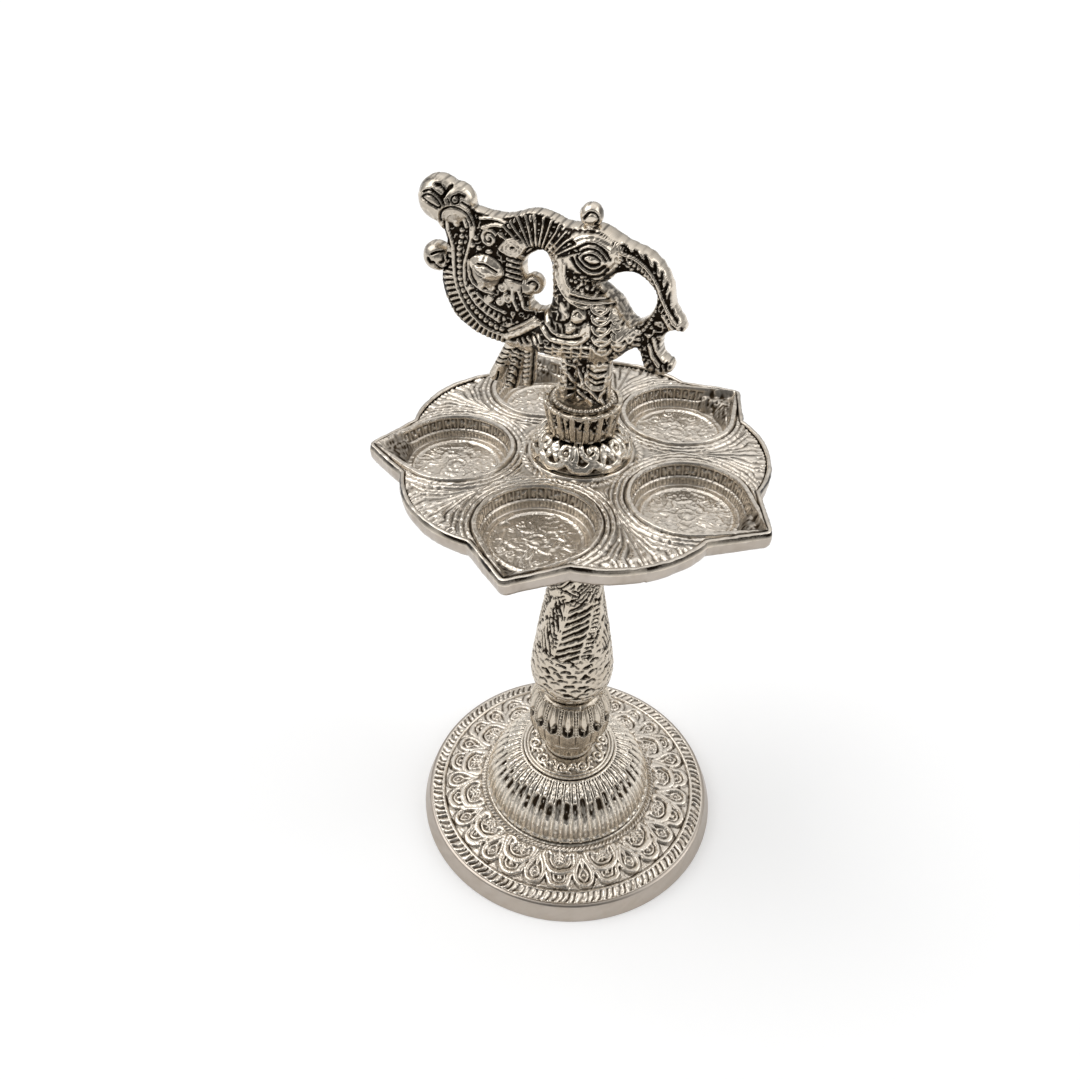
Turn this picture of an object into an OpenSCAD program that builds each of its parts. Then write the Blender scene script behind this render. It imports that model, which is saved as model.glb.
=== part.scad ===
// Five-lamp diya stand with a peacock finial: plated castings stacked on one tie rod.
// The origin is the middle of the resting face and +Z is up.
// The peacock stands in the XZ plane and faces +X.

/* [Base] */
// Diameter of the foot
foot_d = 85; // [78:1:95]
// Diameter of the foot at the top of its side band
foot_top_d = 82; // [76:1:92]
// Height of the foot's plain side band
foot_band_h = 5; // [4:0.5:7]
// Rise of the foot's top from the band to the dome
foot_rise = 2; // [1:0.5:4]
// Thickness of the foot's outer wall
foot_wall = 4; // [3:0.5:6]
// Thickness of the foot's top plate
foot_plate = 2.2; // [1.6:0.2:3]
// Diameter of the dome where it meets the foot
dome_d = 47; // [43:1:54]
// Height of the dome above the foot's top
dome_h = 16.8; // [14:0.2:20]
// Wall of the dome
dome_wall = 3; // [2:0.5:4]
// Diameter of the ring round the dome's collar
collar_d = 26.2; // [23:0.2:30]
// Rise of the collar above its ring
collar_rise = 1.4; // [0.8:0.2:2]
// Thickness of the dome's roof at the rod
hub_t = 4; // [3:0.5:6]

/* [Knop] */
// Height of the knop
knop_h = 23.4; // [20:0.2:27]
// Widest diameter of the knop
knop_d = 21.8; // [19:0.2:26]
// Diameter of the knop's neck
knop_neck_d = 12.8; // [11:0.2:15]
// Height of the knop's neck
knop_neck_h = 5.4; // [4:0.2:7]
// Height of the knop's widest place
knop_belly_z = 15.2; // [12:0.2:17]

/* [Stem] */
// Height of the stem
stem_h = 72.2; // [64:0.2:84]
// Diameter of the ring at the stem's foot
stem_foot_d = 13.6; // [12:0.2:16]
// Widest diameter of the stem
stem_belly_d = 22; // [19:0.2:26]
// Height of the stem's widest place
stem_belly_z = 8.5; // [7:0.5:11]
// Diameter of the stem's narrowest place
stem_neck_d = 10.4; // [9:0.2:13]
// Height of the stem's narrowest place
stem_neck_z = 46; // [40:1:52]
// Diameter of the stem's flared head under the tray
stem_head_d = 22; // [18:0.5:26]

/* [Lamp tray] */
// Number of bowls
bowl_count = 5; // [5:1:5]
// Angle of the first tip from the peacock's front
tray_angle = -15; // [-36:1:36]
// Radius of the tray at its tips
tray_tip_r = 48; // [46:0.5:54]
// Radius of the rounded lobes between the tips
tray_lobe_r = 42.2; // [41.7:0.5:44.2]
// Radius of the notches beside the tips
tray_notch_r = 40.6; // [39.6:0.5:41.6]
// Height of the tray's rim
tray_t = 4.5; // [4:0.5:6]
// Thickness of the tray's plate
tray_plate = 2.4; // [2:0.2:3]
// Width of the raised lip along the rim
lip_w = 1.2; // [0.8:0.2:2]
// Thickness of the tray's rim
rim_w = 2.4; // [2:0.2:3]
// Height of the raised lip and of the rings round the bowls
lip_h = 0.6; // [0.4:0.1:1]
// Radius of the circle through the bowls' middles
bowl_circle_r = 28; // [27.5:0.25:28.5]
// Diameter of a bowl at its mouth
bowl_d = 24.6; // [22:0.2:25]
// Depth of a bowl
bowl_depth = 5.2; // [4.8:0.2:7]
// Thickness of a bowl's wall and floor
bowl_wall = 1.6; // [1.2:0.2:2]
// Depth of a pouring lip at its tip
spout_depth = 0.8; // [0.6:0.1:1.6]

/* [Rosette and pedestal] */
// Diameter of the rosette collar
rosette_d = 22.4; // [20:0.2:26]
// Height of the rosette collar
rosette_h = 5.7; // [4:0.1:8]
// Diameter of the pedestal at its foot
pedestal_foot_d = 14.6; // [13:0.2:16]
// Diameter of the pedestal at its top
pedestal_top_d = 17; // [16.4:0.2:20]
// Height of the pedestal
pedestal_h = 7.3; // [7.1:0.2:12.1]
// Number of flutes round the pedestal
pedestal_flutes = 20; // [12:1:24]

/* [Peacock] */
// Height of the peacock above its seat
peacock_h = 43.4; // [38:0.2:50]
// Thickness of the tail and beak
peacock_plate = 5.4; // [4:0.2:7]
// Diameter of the peacock's round plinth
plinth_d = 13.2; // [11:0.2:13.4]
// Thickness of the peacock's round plinth
plinth_t = 1.2; // [0.8:0.1:2]

/* [Rod and fasteners] */
// Diameter of the tie rod
rod_d = 5; // [4:0.5:6]
// Length of the rod below the nut
rod_tail = 2; // [1:0.5:4]
// Depth of the rod in the pedestal
rod_grip = 5.5; // [4:0.5:5.5]
// Width of the nut across its flats
nut_af = 8; // [7:0.5:10]
// Height of the nut
nut_h = 4; // [3:0.5:5]
// Diameter of the flat washer
washer_d = 12; // [10:0.5:14]
// Thickness of the flat washer
washer_t = 1; // [0.8:0.1:1.6]
// Diameter of the spring washer
spring_d = 9.2; // [8.4:0.2:10]
// Thickness of the spring washer
spring_t = 1.3; // [1:0.1:1.6]
// Radial clearance of the rod in the pieces that turn on it
run_gap = 0.08; // [0.03:0.01:0.1]
// Radial clearance in the threads
thread_gap = 0.05; // [0.02:0.01:0.1]
// Gap between faces that turn on each other
turn_gap = 0.1; // [0.05:0.05:0.3]

/* [Hidden] */

$fn = 96;
plated = [0.80, 0.77, 0.72];
antique = [0.62, 0.58, 0.52];
steel = [0.62, 0.63, 0.65];
eps = 0.01;
// Depth that a cut runs past the face it opens
cut = 1;
rod_r = rod_d / 2;
bore_r = rod_r + run_gap;

// Heights of the stack, each piece standing on the one below
foot_top_z = foot_band_h + foot_rise;
base_h = foot_top_z + dome_h;
seat_z = base_h - hub_t;
knop_z = base_h;
stem_z = knop_z + knop_h;
tray_z = stem_z + stem_h + turn_gap;
tray_top_z = tray_z + tray_t;
plate_top_z = tray_top_z - lip_h;
rosette_z = tray_top_z;
pedestal_z = rosette_z + rosette_h + turn_gap;
dish_depth = 0.5;
bird_z = pedestal_z + pedestal_h - dish_depth;
washer_z = seat_z - washer_t;
spring_z = washer_z - turn_gap - spring_t;
nut_z = spring_z - nut_h;
rod_end_z = nut_z - rod_tail;

// Base profile: the dome is a quarter ellipse round a straight core
foot_r = foot_d / 2;
foot_top_r = foot_top_d / 2;
foot_edge = 0.8;
dome_core_r = 8;
dome_a = dome_d / 2 - dome_core_r;
dome_end = acos((collar_d / 2 - dome_core_r) / dome_a);
dome_b = (dome_h - collar_rise) / sin(dome_end);
seat_margin = 1;
seat_r = washer_d / 2 + seat_margin;
collar_step = 0.6;
collar_top_r = knop_neck_d / 2 + collar_step;
ring_h = 0.5;
ring_w = 1.6;
arc_steps = 12;

// Tray outline: straight sides at each tip and bowed lobes between
pitch = 360 / bowl_count;
notch_angle = 15.5;
lobe_steps = 8;
tip_half = atan2(tray_notch_r * sin(notch_angle), tray_tip_r - tray_notch_r * cos(notch_angle));
tray_hub_r = 13;
bowl_r = bowl_d / 2;
bowl_taper = 0.8;
bowl_ring_w = 1.2;
bowl_floor_z = tray_top_z - bowl_depth;
// Pouring lip: starts a step above the bowl's floor and rises to the rim's lip at the tip
spout_step = 0.2;
spout_inset = 0.6;
spout_edge = 0.4;
spout_low_z = bowl_floor_z + spout_step;
spout_root_r = bowl_r - bowl_taper - spout_inset;
spout_tip = tray_tip_r - (lip_w + spout_edge) / sin(tip_half) - bowl_circle_r;
spout_run = (spout_tip - spout_root_r) / (bowl_depth - spout_step - spout_depth);

// The peacock's own places are lengths from the middle of its seat
// Outline, anticlockwise from the rump: tail, back, crest, beak, claws and breast
bird_outline = [
    [-15, 10], [-21, 10.6], [-25.5, 12], [-29.4, 15], [-31.4, 19], [-32, 23], [-31, 27],
    [-30.5, 32], [-33, 35], [-33.3, 39], [-30.3, 41], [-27.4, 39.6], [-23.6, 38], [-17.6, 37.6],
    [-11.6, 39.5], [-7.6, 39.1], [-4, 38], [2, 38.6], [5.4, 37.4], [8.4, 36.2], [12.4, 35], [15.4, 32.6],
    [17.4, 29.2], [18.2, 25.6], [20.6, 22], [20.6, 20.7], [18, 20.4], [16.4, 18], [16.8, 14.8],
    [19, 13.4], [19, 11.7], [16.5, 10.4], [13.3, 11.4], [11.8, 15], [10, 14.5], [5.8, 11], [-1.2, 10],
    [-8.2, 9.6]
];
// Gap between the tail and the neck
rear_gap = [
    [-13, 29.6], [-9.2, 32], [-7.2, 29.2], [-7.2, 21.6], [-10, 19.4], [-12, 20.4],
    [-11, 23.6], [-13.2, 25.6]
];
// Gap between the beak and the breast
front_gap = [
    [2.8, 27.8], [6.4, 30], [9.6, 30.8], [12.6, 29.6], [14.4, 27.4], [14.3, 24.7], [12.8, 22],
    [10.4, 20.6], [9, 21.8], [7.1, 24.4], [5, 25.8]
];
// Balls as [place along X, height, radius]: tail knob, tail bud, tail boss, small bud, crest, head
bird_balls = [
    [-31.8, 38.8, 4.6], [-33.3, 26.5, 3.1], [-21.1, 25.8, 4.4], [-11.4, 24.4, 2.2], [0.2, 40.2, 2.3],
    [1.5, 32, 5.2]
];
// Size of the figure against its drawn height, which the tail knob tops
bird_k = peacock_h / (bird_balls[0][1] + bird_balls[0][2]);
// Strands and legs as [top X, top height, foot X, foot height, radius]
strands = [
    [-16, 10.5, -20.4, 1.6, 1.5], [-14.4, 10.5, -16.8, 0, 1.5], [-12.4, 10.5, -12.7, 2, 1.5]
];
bud_swell = 0.2;
legs = [[-3, 11, -3.6, 0.6, 2], [3.8, 11.5, 3.6, 0.6, 2.2]];
breast_length = 25;
breast_d = 12;
breast_place = [-2.3, 15.2];
breast_tilt = 14;
neck_low = [1, 19];
neck_h = 11;
neck_low_r = 5.4;
neck_top_r = 4.4;
curve_steps = 4;

// Curve through hand-chosen points
function curve_point(a, b, c, d, t) =
    0.5 * (2 * b + (c - a) * t + (2 * a - 5 * b + 4 * c - d) * t * t
           + (3 * b - a - 3 * c + d) * t * t * t);
function closed_curve(p) =
    let (n = len(p))
    [for (i = [0:n - 1]) for (k = [0:curve_steps - 1])
        curve_point(p[(i + n - 1) % n], p[i], p[(i + 1) % n], p[(i + 2) % n], k / curve_steps)];

function polar(r, a) = [r * cos(a), r * sin(a)];

// Outline of the tray, drawn in by an even margin
function tray_outline(margin) =
    [for (i = [0:bowl_count - 1]) let (tip = i * pitch + tray_angle)
        each concat(
            [polar(tray_tip_r - margin / sin(tip_half), tip)],
            [for (k = [0:lobe_steps])
                let (side = 2 * k / lobe_steps - 1)
                let (bow = (tray_lobe_r - tray_notch_r) * (1 - side * side))
                polar(tray_notch_r - margin + bow, tip + pitch / 2 + side * (pitch / 2 - notch_angle))]
        )];

module ring(outer_r, inner_r, height) {
    difference() {
        cylinder(h = height, r = outer_r);
        translate([0, 0, -cut]) cylinder(h = height + 2 * cut, r = inner_r);
    }
}

module at_bowls() {
    for (i = [0:bowl_count - 1])
        rotate(i * pitch + tray_angle) translate([bowl_circle_r, 0, 0]) children();
}

// Round bar between two places in the XZ plane
module bar(from, to, r) {
    run = to - from;
    translate([from[0], 0, from[1]]) rotate([0, atan2(run[0], run[1]), 0]) cylinder(h = norm(run), r = r);
}

module base_foot() {
    dome_arc = [for (i = [0:arc_steps]) let (t = dome_end * i / arc_steps)
        [dome_core_r + dome_a * cos(t), foot_top_z + dome_b * sin(t)]];
    roof_arc = [for (i = [0:arc_steps]) let (t = 90 * i / arc_steps)
        [dome_core_r + (dome_a - dome_wall) * cos(t), foot_top_z + (dome_b - dome_wall) * sin(t)]];
    ring_z = base_h - collar_rise;
    outside = concat(
        [[0, 0], [foot_r, 0], [foot_top_r, foot_band_h - foot_edge], [foot_top_r - foot_edge, foot_band_h]],
        [[dome_d / 2 + ring_w, foot_top_z]],
        dome_arc,
        [[collar_d / 2, ring_z + ring_h], [collar_d / 2 - ring_w, ring_z + ring_h]],
        [[collar_top_r, base_h], [0, base_h]]
    );
    hollow = concat(
        [[0, -cut], [foot_r - foot_wall, -cut], [foot_r - foot_wall, foot_band_h - foot_plate]],
        [[dome_d / 2, foot_top_z - foot_plate]],
        roof_arc,
        [[seat_r, seat_z], [0, seat_z]]
    );
    color(plated) difference() {
        rotate_extrude() polygon(outside);
        rotate_extrude() polygon(hollow);
        translate([0, 0, -cut]) cylinder(h = base_h + 2 * cut, r = bore_r);
    }
}

module knop() {
    neck_r = knop_neck_d / 2;
    swell = knop_d / 2 - neck_r;
    foot_flare = 0.3;
    foot_h = 1;
    crease = 0.6;
    blend = 0.2;
    low = knop_belly_z - knop_neck_h + blend;
    high = knop_h - knop_belly_z + blend;
    profile = concat(
        [[0, 0], [neck_r + foot_flare, 0], [neck_r, foot_h], [neck_r, knop_neck_h - crease]],
        [for (i = [0:arc_steps]) let (h = knop_neck_h + (knop_belly_z - knop_neck_h) * i / arc_steps)
            [neck_r + swell * sqrt(1 - pow((knop_belly_z - h) / low, 2)), h]],
        [for (i = [1:arc_steps]) let (h = knop_belly_z + (knop_h - knop_belly_z) * i / arc_steps)
            [neck_r + swell * sqrt(1 - pow((h - knop_belly_z) / high, 2)), h]],
        [[0, knop_h]]
    );
    color(antique) translate([0, 0, knop_z]) difference() {
        rotate_extrude() polygon(profile);
        translate([0, 0, -cut]) cylinder(h = knop_h + 2 * cut, r = bore_r);
    }
}

module stem() {
    foot_ring_h = 0.9;
    foot_blend = 0.2;
    foot_ring_r = stem_foot_d / 2;
    belly_r = stem_belly_d / 2;
    neck_r = stem_neck_d / 2;
    bead_w = 1.3;
    bead_r = neck_r + bead_w;
    bead_h = 3;
    flare_z = stem_neck_z + 2 * bead_h;
    taper = 1.2;
    head_h = 1.8;
    head_r = stem_head_d / 2;
    flare_h = stem_h - head_h - flare_z;
    profile = concat(
        [[0, 0], [foot_ring_r, 0], [foot_ring_r, foot_ring_h]],
        [for (i = [0:arc_steps]) let (t = 90 * i / arc_steps)
            [foot_ring_r + (belly_r - foot_ring_r) * sin(t),
             stem_belly_z - (stem_belly_z - foot_ring_h - foot_blend) * cos(t)]],
        [for (i = [1:arc_steps]) let (s = i / arc_steps)
            [neck_r + (belly_r - neck_r) * (1 - pow(s, taper)),
             stem_belly_z + (stem_neck_z - stem_belly_z) * s]],
        [[bead_r, stem_neck_z + bead_h / 2], [bead_r, stem_neck_z + bead_h], [neck_r, flare_z]],
        [for (i = [1:arc_steps]) let (s = i / arc_steps)
            [neck_r + (head_r - neck_r) * s * s, flare_z + flare_h * s]],
        [[head_r, stem_h], [0, stem_h]]
    );
    color(plated) translate([0, 0, stem_z]) difference() {
        rotate_extrude() polygon(profile);
        translate([0, 0, -cut]) cylinder(h = stem_h + 2 * cut, r = bore_r);
    }
}

module bowl_hollow() {
    translate([0, 0, bowl_floor_z]) cylinder(h = bowl_depth + cut, r1 = bowl_r - bowl_taper, r2 = bowl_r);
}

module bowl_shell() {
    low_z = bowl_floor_z - bowl_wall;
    translate([0, 0, low_z])
        cylinder(h = plate_top_z - low_z, r1 = bowl_r - bowl_taper, r2 = bowl_r + bowl_wall);
}

// Sloping way from a bowl's floor out to its tip, narrowing from the root circle
module spout_wedge(root_r, tip, low_z, high_z) {
    side = polar(root_r, acos(root_r / tip));
    rise = high_z - low_z;
    translate([0, 0, low_z]) intersection() {
        linear_extrude(rise) polygon([[0, 0], [side[0], -side[1]], [tip, 0], side]);
        cylinder(h = rise, r1 = spout_root_r, r2 = spout_root_r + rise * spout_run);
    }
}

module lamp_tray() {
    color(plated) difference() {
        union() {
            difference() {
                translate([0, 0, tray_z]) linear_extrude(tray_t) polygon(tray_outline(0));
                translate([0, 0, tray_z - cut])
                    linear_extrude(tray_t - lip_h - tray_plate + cut) polygon(tray_outline(rim_w));
                translate([0, 0, plate_top_z]) linear_extrude(lip_h + cut) polygon(tray_outline(lip_w));
            }
            at_bowls() bowl_shell();
            at_bowls() spout_wedge(spout_root_r + bowl_wall, spout_tip + lip_w,
                                   spout_low_z - bowl_wall, plate_top_z);
            at_bowls() translate([0, 0, plate_top_z - eps])
                ring(bowl_r + bowl_ring_w, bowl_r - bowl_taper, lip_h + eps);
            translate([0, 0, tray_z]) cylinder(h = tray_t, r = tray_hub_r);
        }
        at_bowls() bowl_hollow();
        at_bowls() spout_wedge(spout_root_r, spout_tip, spout_low_z, tray_top_z + cut);
        translate([0, 0, tray_z - cut]) cylinder(h = tray_t + 2 * cut, r = bore_r);
    }
}

module rosette_collar() {
    lip_r = rosette_d / 2;
    top_step = 0.5;
    undercut = 0.4;
    edge = 1.4;
    top_r = pedestal_foot_d / 2 + top_step;
    profile = concat(
        [[0, 0], [lip_r - undercut, 0]],
        [for (i = [0:arc_steps]) let (t = 90 * i / arc_steps)
            [top_r + (lip_r - top_r) * cos(t), edge + (rosette_h - edge) * sin(t)]],
        [[0, rosette_h]]
    );
    color(plated) translate([0, 0, rosette_z]) difference() {
        rotate_extrude() polygon(profile);
        translate([0, 0, -cut]) cylinder(h = rosette_h + 2 * cut, r = bore_r);
    }
}

module finial_pedestal() {
    foot_r = pedestal_foot_d / 2;
    top_r = pedestal_top_d / 2;
    lean = atan2(top_r - foot_r, pedestal_h);
    flute_r = 0.45;
    rim_h = 1;
    dish_gap = 0.5;
    dish_r = plinth_d / 2 + dish_gap;
    color(antique) translate([0, 0, pedestal_z]) difference() {
        union() {
            cylinder(h = pedestal_h - rim_h, r1 = foot_r, r2 = top_r);
            translate([0, 0, pedestal_h - rim_h]) cylinder(h = rim_h, r = top_r);
        }
        for (i = [0:pedestal_flutes - 1]) rotate((i + 0.5) * 360 / pedestal_flutes)
            translate([foot_r, 0, 0]) rotate([0, lean, 0])
                translate([0, 0, -cut]) cylinder(h = pedestal_h - rim_h + cut, r = flute_r, $fn = 24);
        translate([0, 0, pedestal_h - dish_depth]) cylinder(h = dish_depth + cut, r = dish_r);
        translate([0, 0, -cut]) cylinder(h = rod_grip + thread_gap + cut, r = rod_r + thread_gap);
    }
}

module peacock() {
    color(antique) translate([0, 0, bird_z]) {
        cylinder(h = plinth_t, r = plinth_d / 2);
        scale(bird_k) {
            rotate([90, 0, 0]) linear_extrude(peacock_plate / bird_k, center = true) difference() {
                polygon(closed_curve(bird_outline));
                polygon(closed_curve(rear_gap));
                polygon(closed_curve(front_gap));
            }
            for (b = bird_balls) translate([b[0], 0, b[1]]) sphere(r = b[2], $fn = 48);
            for (s = concat(strands, legs)) bar([s[0], s[1]], [s[2], s[3]], s[4], $fn = 32);
            for (s = strands) translate([s[2], 0, s[3]]) sphere(r = s[4] + bud_swell, $fn = 32);
            translate([breast_place[0], 0, breast_place[1]]) rotate([0, 90 - breast_tilt, 0])
                rotate_extrude() polygon([for (i = [0:arc_steps]) let (t = 180 * i / arc_steps)
                    [breast_d / 2 * sin(t), -breast_length / 2 * cos(t)]]);
            translate([neck_low[0], 0, neck_low[1]])
                cylinder(h = neck_h, r1 = neck_low_r, r2 = neck_top_r);
        }
    }
}

module tie_rod() {
    end_chamfer = 0.5;
    top_z = pedestal_z + rod_grip;
    color(steel) {
        translate([0, 0, rod_end_z]) cylinder(h = end_chamfer, r1 = rod_r - end_chamfer, r2 = rod_r);
        translate([0, 0, rod_end_z + end_chamfer]) cylinder(h = top_z - rod_end_z - end_chamfer, r = rod_r);
    }
}

module flat_washer() {
    color(steel) translate([0, 0, washer_z]) ring(washer_d / 2, bore_r, washer_t);
}

module spring_washer() {
    split = 0.8;
    color(steel) translate([0, 0, spring_z]) difference() {
        ring(spring_d / 2, bore_r, spring_t);
        translate([0, -split / 2, -cut]) cube([spring_d, split, spring_t + 2 * cut]);
    }
}

module base_nut() {
    color(steel) translate([0, 0, nut_z]) difference() {
        cylinder(h = nut_h, r = nut_af / 2 / cos(30), $fn = 6);
        translate([0, 0, -cut]) cylinder(h = nut_h + 2 * cut, r = rod_r + thread_gap);
    }
}

base_foot();
knop();
stem();
lamp_tray();
rosette_collar();
finial_pedestal();
peacock();
tie_rod();
flat_washer();
spring_washer();
base_nut();
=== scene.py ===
# Five-lamp diya stand: cast and plated pieces with chased relief, steel rod and fasteners.
# Lengths here are in millimetres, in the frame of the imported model; meshes are made in metres.
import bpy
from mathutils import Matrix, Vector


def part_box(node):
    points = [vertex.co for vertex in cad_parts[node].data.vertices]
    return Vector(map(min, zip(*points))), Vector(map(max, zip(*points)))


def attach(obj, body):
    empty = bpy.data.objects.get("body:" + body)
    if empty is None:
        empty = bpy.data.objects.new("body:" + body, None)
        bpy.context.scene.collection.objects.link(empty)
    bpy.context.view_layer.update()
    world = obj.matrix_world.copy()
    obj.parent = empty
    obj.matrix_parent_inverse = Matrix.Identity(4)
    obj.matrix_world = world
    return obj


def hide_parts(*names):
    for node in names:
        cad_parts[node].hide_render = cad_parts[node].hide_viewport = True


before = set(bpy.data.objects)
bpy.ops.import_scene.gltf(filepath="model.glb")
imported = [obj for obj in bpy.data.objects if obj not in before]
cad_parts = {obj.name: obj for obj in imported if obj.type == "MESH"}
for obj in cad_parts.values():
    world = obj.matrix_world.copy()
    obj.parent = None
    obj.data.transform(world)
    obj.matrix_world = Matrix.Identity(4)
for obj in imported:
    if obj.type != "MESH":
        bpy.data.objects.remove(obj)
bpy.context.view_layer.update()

import math

import bpy
import numpy as np
from mathutils import Matrix, Vector

MM = 0.001


def level(node, end):
    """Height of the lowest (end 0) or the highest (end 1) point of a solid."""
    return round(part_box(node)[end][2] / MM, 2)


# Heights of the stack, from the solids
KNOP_Z, STEM_Z = level("knop", 0), level("stem", 0)
TRAY_TOP_Z, TRAY_T, LIP_H = level("lamp_tray", 1), 4.5, 0.6
TRAY_Z, PLATE_TOP_Z = TRAY_TOP_Z - TRAY_T, TRAY_TOP_Z - LIP_H
ROSETTE_Z, PEDESTAL_Z = level("rosette_collar", 0), level("finial_pedestal", 0)
PLINTH_SINK = 0.5  # how deep the bird's plinth stands in the pedestal
BIRD_Z = level("finial_pedestal", 1) - PLINTH_SINK
ROD_END_Z, ROD_TOP_Z = level("tie_rod", 0), level("tie_rod", 1)
NUT_Z, SPRING_Z, WASHER_Z = level("base_nut", 0), level("spring_washer", 0), level("flat_washer", 0)
ROOF_Z = level("flat_washer", 1)  # underside of the dome's roof
ROD_R, THREAD_R, BORE_R = 2.5, 2.55, 2.58

# Base: the foot's top is a shallow cone, the dome a quarter ellipse turned on a ring
FOOT_BAND_Z, FOOT_TOP_Z = 5.0, 7.0
FOOT_EDGE_R, BORDER_OUT_R, BORDER_IN_R, DOME_FOOT_R, ROPE_R = 40.2, 40.1, 36.75, 25.1, 24.75
DOME_RING_R, DOME_W, DOME_H, DOME_WALL = 8.0, 15.5, 16.31, 3.0
BORDER_STROKES, ROPE_STRANDS, FLUTES = 136, 132, 52

# Tray plan
BOWLS, TRAY_ANGLE = 5, -15.0
PITCH, HALF_PITCH = 360 / BOWLS, math.pi / BOWLS
TIP_R, LOBE_R, NOTCH_R, NOTCH_A = 48.0, 42.2, 40.6, 15.5
BOWL_CIRCLE, BOWL_R, BOWL_DEPTH, BOWL_FLOOR_R = 28.0, 12.3, 5.2, 11.2
FLOOR_Z = TRAY_TOP_Z - BOWL_DEPTH
LIP_W, RIM_W = 1.2, 2.4
SPOUT_TIP = 18.3
SPOUT_BEND = math.acos(BOWL_R / SPOUT_TIP)
HUB_R, HUB_FOOT_R, HUB_ROPE_R = 10.9, 13.0, 13.0
PANELS, RIM_COUNTS = 44, (62, 62)

NOTHING = -9.0  # lower than any relief
GROUND = -0.4  # level that raised figures stand on


# Numbers and fields

def smooth(low, high, x):
    t = np.clip((x - low) / (high - low), 0, 1)
    return t * t * (3 - 2 * t)


def ridge(d, w):
    """1 on a line, falling round to 0 at half width w."""
    return np.sqrt(np.clip(1 - (d / w) ** 2, 0, 1))


def soft(d, w):
    """1 on a line, falling softly to 0 at half width w."""
    return 0.5 + 0.5 * np.cos(np.pi * np.clip(np.abs(d) / w, 0, 1))


def wave(x):
    """1 at whole numbers, 0 half way between."""
    return 0.5 + 0.5 * np.cos(2 * np.pi * x)


def fold(x, cell):
    """Offset from the middle of the nearest of cells of that length."""
    return (x + cell / 2) % cell - cell / 2


def over(h, line):
    """Lays a raised line over a relief and leaves the rest of it as it is."""
    return np.where(line > 0, np.maximum(h, line), h)


def arc_length(angle, r):
    return np.radians(angle) * r


def noise(x, y, seed=0):
    """Smooth noise from -1 to 1, one cell a unit."""
    i, j = np.floor(x), np.floor(y)
    u, v = x - i, y - j
    u, v = u * u * (3 - 2 * u), v * v * (3 - 2 * v)

    def corner(a, b):
        n = np.sin((i + a) * 127.1 + (j + b) * 311.7 + seed * 74.7) * 43758.5453
        return 2 * (n - np.floor(n)) - 1

    low = corner(0, 0) * (1 - u) + corner(1, 0) * u
    high = corner(0, 1) * (1 - u) + corner(1, 1) * u
    return low * (1 - v) + high * v


def curve(points, steps=6, closed=False):
    """Points along a smooth curve through the given ones."""
    p = np.asarray(points, float)
    if closed:
        p = np.vstack([p[-1:], p, p[:2]])
    else:
        p = np.vstack([2 * p[:1] - p[1:2], p, 2 * p[-1:] - p[-2:-1]])
    t = (np.arange(steps) / steps)[None, :, None]
    a, b, c, d = p[:-3, None], p[1:-2, None], p[2:-1, None], p[3:, None]
    square, cube = 2 * a - 5 * b + 4 * c - d, 3 * b - a - 3 * c + d
    out = 0.5 * (2 * b + (c - a) * t + square * t ** 2 + cube * t ** 3)
    out = out.reshape(-1, p.shape[1])
    return out if closed else np.vstack([out, p[-2:-1]])


def drawn(points):
    """A line as it is drawn: straight through two points, a smooth curve through more."""
    return curve(points) if len(points) > 2 else np.asarray(points, float)


def resample(points, count):
    """The same line with that many points, evenly spaced."""
    p = np.asarray(points, float)
    s = np.r_[0, np.cumsum(np.linalg.norm(np.diff(p, axis=0), axis=1))]
    at = np.linspace(0, s[-1], count)
    return np.stack([np.interp(at, s, p[:, k]) for k in range(p.shape[1])], -1)


def spin(xy, degrees):
    """Points turned anticlockwise about the origin."""
    c, s = math.cos(math.radians(degrees)), math.sin(math.radians(degrees))
    return xy @ np.array([[c, s], [-s, c]])


def to_path(x, y, path):
    """Distance to a line of points, and the length along it of the nearest place."""
    best, along = np.full(x.shape, 1e9), np.zeros(x.shape)
    run = 0.0
    for (ax, ay), (bx, by) in zip(path[:-1], path[1:]):
        dx, dy = bx - ax, by - ay
        length = math.hypot(dx, dy)
        if length < 1e-9:
            continue
        t = np.clip(((x - ax) * dx + (y - ay) * dy) / length ** 2, 0, 1)
        d = (x - ax - t * dx) ** 2 + (y - ay - t * dy) ** 2
        near = d < best
        best = np.where(near, d, best)
        along = np.where(near, run + t * length, along)
        run += length
    return np.sqrt(best), along


def inside_distance(x, y, outline):
    """Distance to a closed outline, positive inside it."""
    loop = np.vstack([outline, outline[:1]])
    d, _ = to_path(x, y, loop)
    inside = np.zeros(x.shape, bool)
    for (ax, ay), (bx, by) in zip(loop[:-1], loop[1:]):
        if ay != by:
            inside ^= ((ay > y) != (by > y)) & (x < (bx - ax) * (y - ay) / (by - ay) + ax)
    return np.where(inside, d, -d)


def blur(a, cells, wrap):
    """Running mean both ways; the first axis runs round if wrap."""
    for axis, mode in ((0, "wrap" if wrap else "edge"), (1, "edge")):
        pad = [(0, 0), (0, 0)]
        pad[axis] = (cells + 1, cells)
        total = np.cumsum(np.pad(a, pad, mode=mode), axis=axis)
        n = a.shape[axis]
        high = np.take(total, range(2 * cells + 1, 2 * cells + 1 + n), axis=axis)
        low = np.take(total, range(0, n), axis=axis)
        a = (high - low) / (2 * cells + 1)
    return a


def hollows(h, reach, wrap=True, span=0.3, sunk=None):
    """Where oxide gathers: 0 on the lands, 1 deep between them or down at the sunk level."""
    dark = np.clip((blur(blur(h, reach, wrap), reach, wrap) - h) / span + 0.1, 0, 1)
    return dark if sunk is None else np.maximum(dark, smooth(*sunk, h))


# Drawing on a sheet of points

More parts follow.
